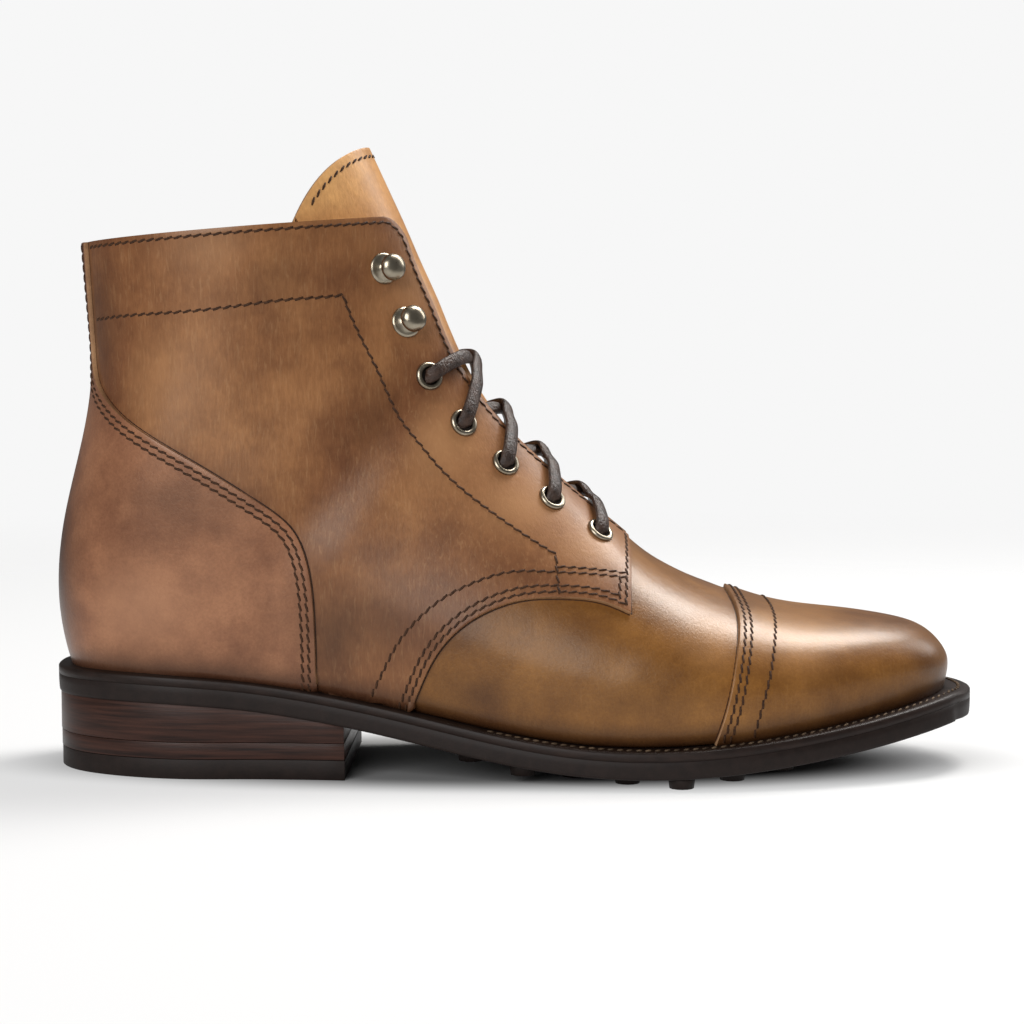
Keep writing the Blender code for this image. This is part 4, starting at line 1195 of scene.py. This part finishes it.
def turned_piece(name, profile, place, axis, finish_rows, node):
    """Spins a profile and stands it on the facing. The second finish is nearly black painted shade inside the
    hole.
    """
    shape = bmesh.new()
    verts = [shape.verts.new((radius, 0, height)) for radius, height in profile]
    edges = [shape.edges.new(pair) for pair in zip(verts, verts[1:])]
    whole_turn = {"angle": 2 * math.pi, "steps": TURN_STEPS, "use_merge": True}
    bmesh.ops.spin(shape, geom=verts + edges, cent=(0, 0, 0), axis=(0, 0, 1), **whole_turn)
    bmesh.ops.remove_doubles(shape, verts=shape.verts, dist=0.005)
    bmesh.ops.recalc_face_normals(shape, faces=shape.faces)
    for face in shape.faces:
        middle = face.calc_center_median()
        # faces inside the hole get the painted shade
        in_hole = math.hypot(middle.x, middle.y) < HOLE_RADIUS and middle.z < HOLE_HEIGHT
        face.material_index = 1 if in_hole else 0
    shape.transform(Matrix.Translation(place) @ axis.to_track_quat("Z", "Y").to_matrix().to_4x4())
    add_piece(name, shape, finish_rows, "metal", node)


# %% Eyelets and hooks
# Profiles from the axis out or from the rim in: (radius, height)
EYELET = [
    (0.0, 0.15), (2.85, 0.15), (2.9, 0.5), (3.1, 0.95), (3.6, 1.2),
    (4.2, 1.1), (4.65, 0.7), (4.8, 0.0), (4.0, -0.4),
]
HOOK = [
    (5.0, -0.3), (5.2, 0.2), (5.0, 0.6), (4.2, 0.8), (2.6, 1.2), (1.9, 2.0), (1.8, 3.6),
    (2.6, 4.2), (3.9, 4.6), (4.45, 5.4), (4.3, 6.6), (3.4, 7.6), (2.0, 8.15), (0.0, 8.35),
]
for side, label in ((OUTER, "outer"), (INNER, "inner")):
    for number, station in enumerate(fastenings):
        place, axis = facing_place(station, side, PANEL + STAND)
        if number < EYELETS:
            name = f"eyelet_{label}_{number + 1}"
            turned_piece("boot_" + name, EYELET, place, axis, [NICKEL, HOLE_PAINTED_SHADE], name)
        else:
            name = f"hook_{label}_{number - EYELETS + 1}"
            turned_piece("boot_" + name, HOOK, place, axis, [NICKEL], name)
print("eyelets and hooks:", 2 * len(fastenings))

# %% [markdown]
# ## Lace
# The lace comes up out of each eyelet, over the facing's edge and the tongue, and goes under the opposite
# facing. At the top it goes down into the last eyelets. A curve with a bevel would be shorter to write, but
# its flat side would not follow the leather. So a ring is drawn out along the route, a flat oval that stays
# square to what lies under it.

# %% Way of a strand
# Part of the way to the next eyelets, side to side in steps of edge and eyelet, and height
LaceStop = namedtuple("LaceStop", "travel reach height")
STRAND_UP = [
    LaceStop(-0.03, -2.05, 0.6),
    LaceStop(0.0, -2.0, 2.6),
    LaceStop(0.06, -1.75, 3.9),
    LaceStop(0.16, -1.35, 3.8),
    LaceStop(0.27, -0.95, 3.4),
    LaceStop(0.40, -0.5, 1.9),
    LaceStop(0.53, 0.0, 0.9),
]
STRAND_UNDER = STRAND_UP + [
    LaceStop(0.66, 0.5, -0.6),
    LaceStop(0.80, 1.05, -2.2),
]
STRAND_OVER = STRAND_UP + [
    LaceStop(0.66, 0.5, 1.9),
    LaceStop(0.78, 0.95, 3.4),
    LaceStop(0.88, 1.35, 3.8),
    LaceStop(0.96, 1.75, 3.9),
    LaceStop(1.0, 2.0, 2.6),
    LaceStop(1.03, 2.05, 0.6),
]
LACE_WIDTH, LACE_THICK, LACE_SIDES = 5.0, 2.2, 14
CROSS_OVER, CROSS_UNDER = 1.3, -0.9  # where the two strands of a crossing pass each other
CROSS_SPREAD = 0.5


def strand_frames(first, second, side, stops, over):
    """Places along a strand, each with its wide side flat on the leather."""
    curve = Curve(range(len(stops)), stops)
    path = []
    for t in np.linspace(0, len(stops) - 1, 6 * len(stops)):
        travel, reach, height = curve(t)
        station = first + (second - first) * travel
        here = side if reach < 0 else -side
        arc = FACING_CURVE(station) * min(abs(reach), 1.0) + SETBACK * max(abs(reach) - 1.0, 0.0)
        share = share_from_ridge(station, here, arc)
        height += over * math.exp(-((reach / CROSS_SPREAD) ** 2))
        path.append((lifted(station, share, here, height), last_normal(station, share, here)))
    frames = []
    for i, (point, up) in enumerate(path):
        ahead = (path[min(i + 1, len(path) - 1)][0] - path[max(i - 1, 0)][0]).normalized()
        wide = ahead.cross(up).normalized()
        rise = wide.cross(ahead)
        frames.append(Matrix((wide, rise, ahead)).transposed().to_4x4())
        frames[-1].translation = point
    return frames


# %% Drawing the strands
def draw_strand(shape, frames):
    """Draws an oval ring out from place to place and closes its end."""
    oval = Matrix.Diagonal((LACE_WIDTH / 2, LACE_THICK / 2, 1, 1))
    ring = bmesh.ops.create_circle(shape, cap_ends=True, segments=LACE_SIDES, radius=1.0)["verts"]
    edges = list({edge for vert in ring for edge in vert.link_edges})
    bmesh.ops.transform(shape, matrix=frames[0] @ oval, verts=ring)
    for before, after in zip(frames, frames[1:]):
        made = bmesh.ops.extrude_edge_only(shape, edges=edges)["geom"]
        ring = [item for item in made if isinstance(item, bmesh.types.BMVert)]
        drawn = [item for item in made if isinstance(item, bmesh.types.BMEdge)]
        edges = [edge for edge in drawn if all(vert in ring for vert in edge.verts)]
        bmesh.ops.transform(shape, matrix=after @ before.inverted(), verts=ring)
    bmesh.ops.contextual_create(shape, geom=edges)


CROSSINGS = EYELETS - 1
for number in range(CROSSINGS):
    stops = STRAND_OVER if number == CROSSINGS - 1 else STRAND_UNDER
    shape = bmesh.new()
    for side, over in ((OUTER, CROSS_OVER), (INNER, CROSS_UNDER)):
        draw_strand(shape, strand_frames(fastenings[number], fastenings[number + 1], side, stops, over))
    bmesh.ops.recalc_face_normals(shape, faces=shape.faces)
    add_piece(f"boot_lace_{number + 1}", shape, [WAXED], "lace", f"lace_cross_{number + 1}")
print("lace crossings:", CROSSINGS)

# %% [markdown]
# ## Stitches
# A seam is a row of short dark threads, each pulled a little into the leather. A row is laid along an edge,
# moved in from it, and each stitch is a small long bead that stands on the panel.

# %% Moving a line over the last
def slide(places, side, inset):
    """Moves a line of (station, share) places to the left of its run, as it is seen from outside."""
    ds, dt = 0.02, 0.004
    points = [last_point(station, share, side) for station, share in places]
    moved = []
    for i, (station, share) in enumerate(places):
        share_low, share_high = max(share - dt, 0.0), min(share + dt, 1.0)
        after, before = min(station + ds, COLLAR), station - ds
        by_station = (last_point(after, share, side) - last_point(before, share, side)) / (after - before)
        by_share = last_point(station, share_high, side) - last_point(station, share_low, side)
        by_share /= share_high - share_low
        ahead = points[min(i + 1, len(points) - 1)] - points[max(i - 1, 0)]
        step = last_normal(station, share, side).cross(ahead).normalized() * inset
        basis = np.array([by_station, by_share]).T
        change = np.linalg.lstsq(basis, np.array(step), rcond=None)[0]
        moved.append((station + change[0], min(max(share + change[1], 0.0), 1.0)))
    return moved


# %% Rows on a layer
def surface_row(places, side, height):
    """Points and normals along (station, share) places on a layer."""
    points, normals = [], []
    for station, share in places:
        up = last_normal(station, share, side)
        base = last_point(station, share, side)
        points.append(base + up * (height + wave_height(base)))
        normals.append(up)
    return points, normals


def along_row(row, at, run):
    points, normals = row
    i = int(min(max(np.searchsorted(run, at, "right") - 1, 0), len(points) - 2))
    t = (at - run[i]) / max(run[i + 1] - run[i], 1e-6)
    ahead = (points[i + 1] - points[i]).normalized()
    up = normals[i].lerp(normals[i + 1], t).normalized()
    return points[i].lerp(points[i + 1], t), ahead, up


# %% Painted groove shade and threads
STITCH_PITCH = 3.3
STITCH = Vector((3.5, 0.9, 0.8))
SLANT = 0.30
GROOVE_WIDTH = 1.5
GROOVE_RISE, GROOVE_SINK = 0.06, -0.12  # its middle and its edges, against the leather


def add_to(shape, part):
    """Adds one bmesh to another."""
    carrier = bpy.data.meshes.new("carrier")
    part.to_mesh(carrier)
    part.free()
    shape.from_mesh(carrier)
    bpy.data.meshes.remove(carrier)


def press(shade_strips, row, width):
    """Adds a narrow strip along a row, its edges just under the leather."""
    run = arc_run(row[0])
    strip = bmesh.new()
    made = bmesh.ops.create_grid(strip, x_segments=max(int(run[-1] / 2), 1), y_segments=2, size=0.5)["verts"]
    for vert in made:
        place, ahead, up = along_row(row, (vert.co.x + 0.5) * run[-1], run)
        across = up.cross(ahead).normalized()
        rise = GROOVE_RISE if abs(vert.co.y) < 0.1 else GROOVE_SINK
        vert.co = place + across * vert.co.y * width + up * rise
    add_to(shade_strips, strip)


def sew(thread, shade_strips, row, pitch=STITCH_PITCH, size=STITCH, slant=SLANT):
    """Adds one stitch for each pitch along a row, over a narrow dark strip painted as the shade of a pressed
    groove.
    """
    run = arc_run(row[0])
    count = max(int(run[-1] / pitch), 1)
    row_thread = bmesh.new()
    for k in range(count):
        place, ahead, up = along_row(row, (k + 0.5) * run[-1] / count, run)
        lean = (ahead + up.cross(ahead).normalized() * slant).normalized()
        turn = Matrix((lean, up.cross(lean), up)).transposed().to_4x4()
        turn.translation = place
        shape = Matrix.Diagonal((size.x / 2, size.y / 2, size.z / 2, 1))
        bmesh.ops.create_uvsphere(row_thread, u_segments=6, v_segments=5, radius=1.0, matrix=turn @ shape)
    add_to(thread, row_thread)
    if shade_strips is not None:
        press(shade_strips, row, GROOVE_WIDTH)
    return count


# %% [markdown]
# The rows follow the panels' edges, or lines of their own: the band under the collar, the line behind the
# eyelets, the box at the facing's foot, the long curve from there to the sole and the one across the toe cap.
# Most of these are short tables of stations and shares with a smooth curve through them.

# %% Lines that the rows follow
def through(table, count):
    curve = Curve(range(len(table)), table)
    return [tuple(curve(t)) for t in np.linspace(0, len(table) - 1, count)]


STRIP_CLEAR = 0.012  # share between the back strip and the collar's row
FACING_LAST = 7.9
COLLAR_BAND = [(21.88, 0.085), (21.72, 0.25), (21.29, 0.447), (20.75, 0.61), (19.95, 0.744)]
FACING_ROW_ARC = 41.8  # from the ridge
BOX_BACK = [(8.96, 0.599), (8.86, 0.545), (8.72, 0.475)]
BOX_ROW = [(8.87, 0.543), (8.51, 0.570), (8.10, 0.598), (7.66, 0.626)]
SHADOW_ROW = [(8.87, 0.543), (9.25, 0.516), (9.58, 0.483), (9.86, 0.438), (10.06, 0.396), (10.23, 0.349)]
SHADOW_ROW += [(10.36, 0.288), (10.44, 0.211), (10.43, 0.123), (10.40, 0.03)]
CAP_FRONT = [(5.22, 0.985), (5.18, 0.728), (5.21, 0.524), (5.31, 0.317), (5.39, 0.218), (5.54, 0.03)]


def top_line(side):
    """The quarter's edge from the back strip along the collar and down the facing."""
    start, end = counter_share(COLLAR, side) + STRIP_CLEAR, facing_share(COLLAR, side)
    collar = [(COLLAR, t) for t in np.linspace(start, end, 40)]
    facing = [(s, facing_share(s, side)) for s in np.linspace(COLLAR - 0.05, CORNER_FIRST, 12)]
    facing += [(s, facing_share(s, side)) for s in np.linspace(CORNER_FIRST - 0.2, FACING_LAST, 60)]
    return collar + facing


def front_line(side, first, last):
    high = facing_share(FRONT_TOP, side)
    low_station, low = QUARTER_FOOT[0]
    parts = np.linspace(first, last, 16)
    return [(FRONT_TOP + (low_station - FRONT_TOP) * t, high + (low - high) * t) for t in parts]


def counter_line(side):
    low = np.linspace(counter_first[side] + 0.02, HEEL - 0.5, 50)
    stations = np.concatenate([low, np.linspace(HEEL + 0.3, COLLAR, 50)])
    return [(s, counter_share(s, side)) for s in stations]


def cap_line(side):
    shares = np.linspace(0, 1, CAP_COLUMNS + 1)
    return [(np.interp(t, shares, cap_reach[side]), t) for t in np.linspace(0.03, 0.985, 40)]


# %% [markdown]
# Every panel is sewn down just inside its edge, mostly with two rows. A narrow dark strip also runs along the
# outside of each edge, on the layer below, as a painted shadow cast by the edge.

# %% Sewing the panels
COLLAR_IN, FIRST_IN, SECOND_IN = 1.9, 1.7, 3.9  # rows from the quarter's edges
BOX_APART = 2.0
CAP_IN = (1.8, 4.0)
COUNTER_IN = (2.0, 4.2)
TONGUE_IN = 3.2
SHADOW_OUT, SHADOW_WIDTH = 0.35, 1.3
thread, shade_strips, edge_shadows = bmesh.new(), bmesh.new(), bmesh.new()
stitches = 0
for side in (OUTER, INNER):
    left = -side
    foot, cap_edge, counter_edge = through(QUARTER_FOOT, 80), cap_line(side), counter_line(side)
    panel_rows = [
        slide(top_line(side), side, -COLLAR_IN * left),
        slide(front_line(side, 0.05, 0.95), side, -FIRST_IN * left),
        slide(front_line(side, 0.67, 0.90), side, -SECOND_IN * left),
        slide(foot[2:], side, -FIRST_IN * left),
        slide(foot[5:], side, -SECOND_IN * left),
        through(COLLAR_BAND, 30),
        [(s, share_from_ridge(s, side, FACING_ROW_ARC)) for s in np.linspace(19.95, 8.96, 70)],
        through(BOX_BACK, 8),
        through(BOX_ROW, 12),
        slide(through(BOX_ROW, 12), side, BOX_APART * left),
        through(SHADOW_ROW, 40),
        *(slide(cap_edge, side, -inset * left) for inset in CAP_IN),
        through(CAP_FRONT, 40),
    ]
    for places in panel_rows:
        stitches += sew(thread, shade_strips, surface_row(places, side, PANEL))
    for inset in COUNTER_IN:
        stitches += sew(thread, shade_strips, surface_row(slide(counter_edge, side, inset * left), side, 2 * PANEL))
    rim = [(tongue_top(t, side) - TONGUE_IN, t) for t in np.linspace(0.70, 0.999, 30)]
    stitches += sew(thread, None, surface_row(rim, side, -WALL - GAP))
    # Painted shadows just outside the counter's, the quarters' and the cap's edges, on the layer below
    press(edge_shadows, surface_row(slide(counter_edge, side, -SHADOW_OUT * left), side, PANEL), SHADOW_WIDTH)
    for places in (foot, front_line(side, 0.0, 1.0), cap_edge):
        press(edge_shadows, surface_row(slide(places, side, SHADOW_OUT * left), side, 0.0), SHADOW_WIDTH)
bmesh.ops.recalc_face_normals(thread, faces=thread.faces)
add_piece("boot_stitches", thread, [THREAD], "lace")
add_piece("boot_painted_groove_shade", shade_strips, [GROOVE_SHADE], "panel_leather")
add_piece("boot_painted_edge_shadows", edge_shadows, [PAINTED_EDGE_SHADOW], "panel_leather")
print("stitches:", stitches)

# %% [markdown]
# One bold row holds the welt to the sole, from the toe back to the waist on both sides. It runs along the
# welt's upper face, so the points come from the sole's outline and the threads stand straight up from it.

# %% Welt stitches
WELT_PITCH = 3.0
WELT_STITCH = Vector((2.7, 0.9, 0.8))
WELT_SLANT = 0.45
WELT_SPREAD, WELT_LAST = 0.62, 9.0  # part of the margin, and the station where the row ends
welt_thread = bmesh.new()
stitches = 0
for side in (OUTER, INNER):
    line = [sole_point(s, side, WELT_SPREAD, 0.0) for s in np.linspace(TOE, WELT_LAST, 160)]
    row = line, [Vector((0, 0, 1))] * len(line)
    stitches += sew(welt_thread, None, row, WELT_PITCH, WELT_STITCH, WELT_SLANT)
add_piece("boot_welt_stitches", welt_thread, [WELT_THREAD], "welt_leather")
print("welt stitches:", stitches)

# %% [markdown]
# ## Light and floor
# The picture is a plain studio shot: a white floor that runs out of sight, wide soft light from above and in
# front, and a little less from the sides, so the leather shows broad soft highlights.

# %% Floor
FLOOR_HALF = 6.0
FLOOR_GLOW = 0.60  # away from the boot
PAINTED_SHADOW_HALF = (0.155, 0.05)  # ellipse under the boot where the floor gives off no light: a painted contact shadow
floor_mesh = bmesh.new()
bmesh.ops.create_grid(floor_mesh, x_segments=1, y_segments=1, size=FLOOR_HALF)
mesh = bpy.data.meshes.new("floor")
floor_mesh.to_mesh(mesh)
floor_mesh.free()
floor = bpy.data.objects.new("floor", mesh)
bpy.context.scene.collection.objects.link(floor)
WHITE, tree, shader = new_finish("studio_floor")
shader.inputs["Base Color"].default_value = (0.26, 0.26, 0.26, 1)
shader.inputs["Emission Color"].default_value = (1, 1, 1, 1)
shader.inputs["Roughness"].default_value = 0.9


def faded(scale, near, far, at_near, at_far):
    """A smooth change with the distance from the middle of the floor, each axis scaled."""
    stretched = tree.nodes.new("ShaderNodeVectorMath")
    stretched.operation = "MULTIPLY"
    stretched.inputs[1].default_value = scale
    tree.links.new(object_place(tree), stretched.inputs[0])
    distance = tree.nodes.new("ShaderNodeVectorMath")
    distance.operation = "LENGTH"
    tree.links.new(stretched.outputs["Vector"], distance.inputs[0])
    fade = tree.nodes.new("ShaderNodeMapRange")
    fade.interpolation_type = "SMOOTHSTEP"
    for key, value in zip(("From Min", "From Max", "To Min", "To Max"), (near, far, at_near, at_far)):
        fade.inputs[key].default_value = value
    tree.links.new(distance.outputs["Value"], fade.inputs["Value"])
    return fade.outputs["Result"]


tree.links.new(faded((1, 1, 1), 0.25, 1.1, 1.0, 0.0), shader.inputs["Alpha"])
# The floor's own glow fades out under the boot, a painted contact shadow
painted_light = faded((1 / PAINTED_SHADOW_HALF[0], 1 / PAINTED_SHADOW_HALF[1], 1), 0.7, 1.25, 0.0, FLOOR_GLOW)
tree.links.new(painted_light, shader.inputs["Emission Strength"])
mesh.materials.append(WHITE)


# %% Lights
def soft_light(name, place, aim, size, power, tint=(1, 1, 1)):
    lamp = bpy.data.objects.new(name, bpy.data.lights.new(name, "AREA"))
    lamp.data.shape = "RECTANGLE"
    lamp.data.size, lamp.data.size_y = size
    lamp.data.energy = power
    lamp.data.color = tint
    lamp.location = place
    lamp.rotation_euler = (Vector(aim) - Vector(place)).to_track_quat("-Z", "Y").to_euler()
    bpy.context.scene.collection.objects.link(lamp)


soft_light("key", (-0.70, -1.5, 0.80), (0, 0, 0.08), size=(1.2, 1.0), power=26)
soft_light("top", (0.42, 0.38, 1.06), (0.05, 0, 0.05), size=(0.34, 0.7), power=17, tint=(1.0, 0.98, 0.95))
soft_light("rim", (1.2, 0.5, 0.8), (0, 0, 0.1), size=(0.5, 0.8), power=7)

# %% [markdown]
# The room is nearly white to the camera, but it lights the boot only a little, or the leather would look
# washed out. A light path node tells the two apart.

# %% World
world = bpy.data.worlds.new("studio")
bpy.context.scene.world = world
world.use_nodes = True
tree = world.node_tree
seen = tree.nodes["Background"]
seen.inputs["Color"].default_value = (0.93, 0.93, 0.93, 1)
lighting = tree.nodes.new("ShaderNodeBackground")
lighting.inputs["Color"].default_value = (1, 1, 1, 1)
lighting.inputs["Strength"].default_value = 0.16
ray = tree.nodes.new("ShaderNodeLightPath")
choose = tree.nodes.new("ShaderNodeMixShader")
tree.links.new(ray.outputs["Is Camera Ray"], choose.inputs["Fac"])
tree.links.new(lighting.outputs["Background"], choose.inputs[1])
tree.links.new(seen.outputs["Background"], choose.inputs[2])
tree.links.new(choose.outputs["Shader"], tree.nodes["World Output"].inputs["Surface"])
bpy.context.scene.view_settings.view_transform = "Standard"
print("lights:", len(bpy.data.lights))
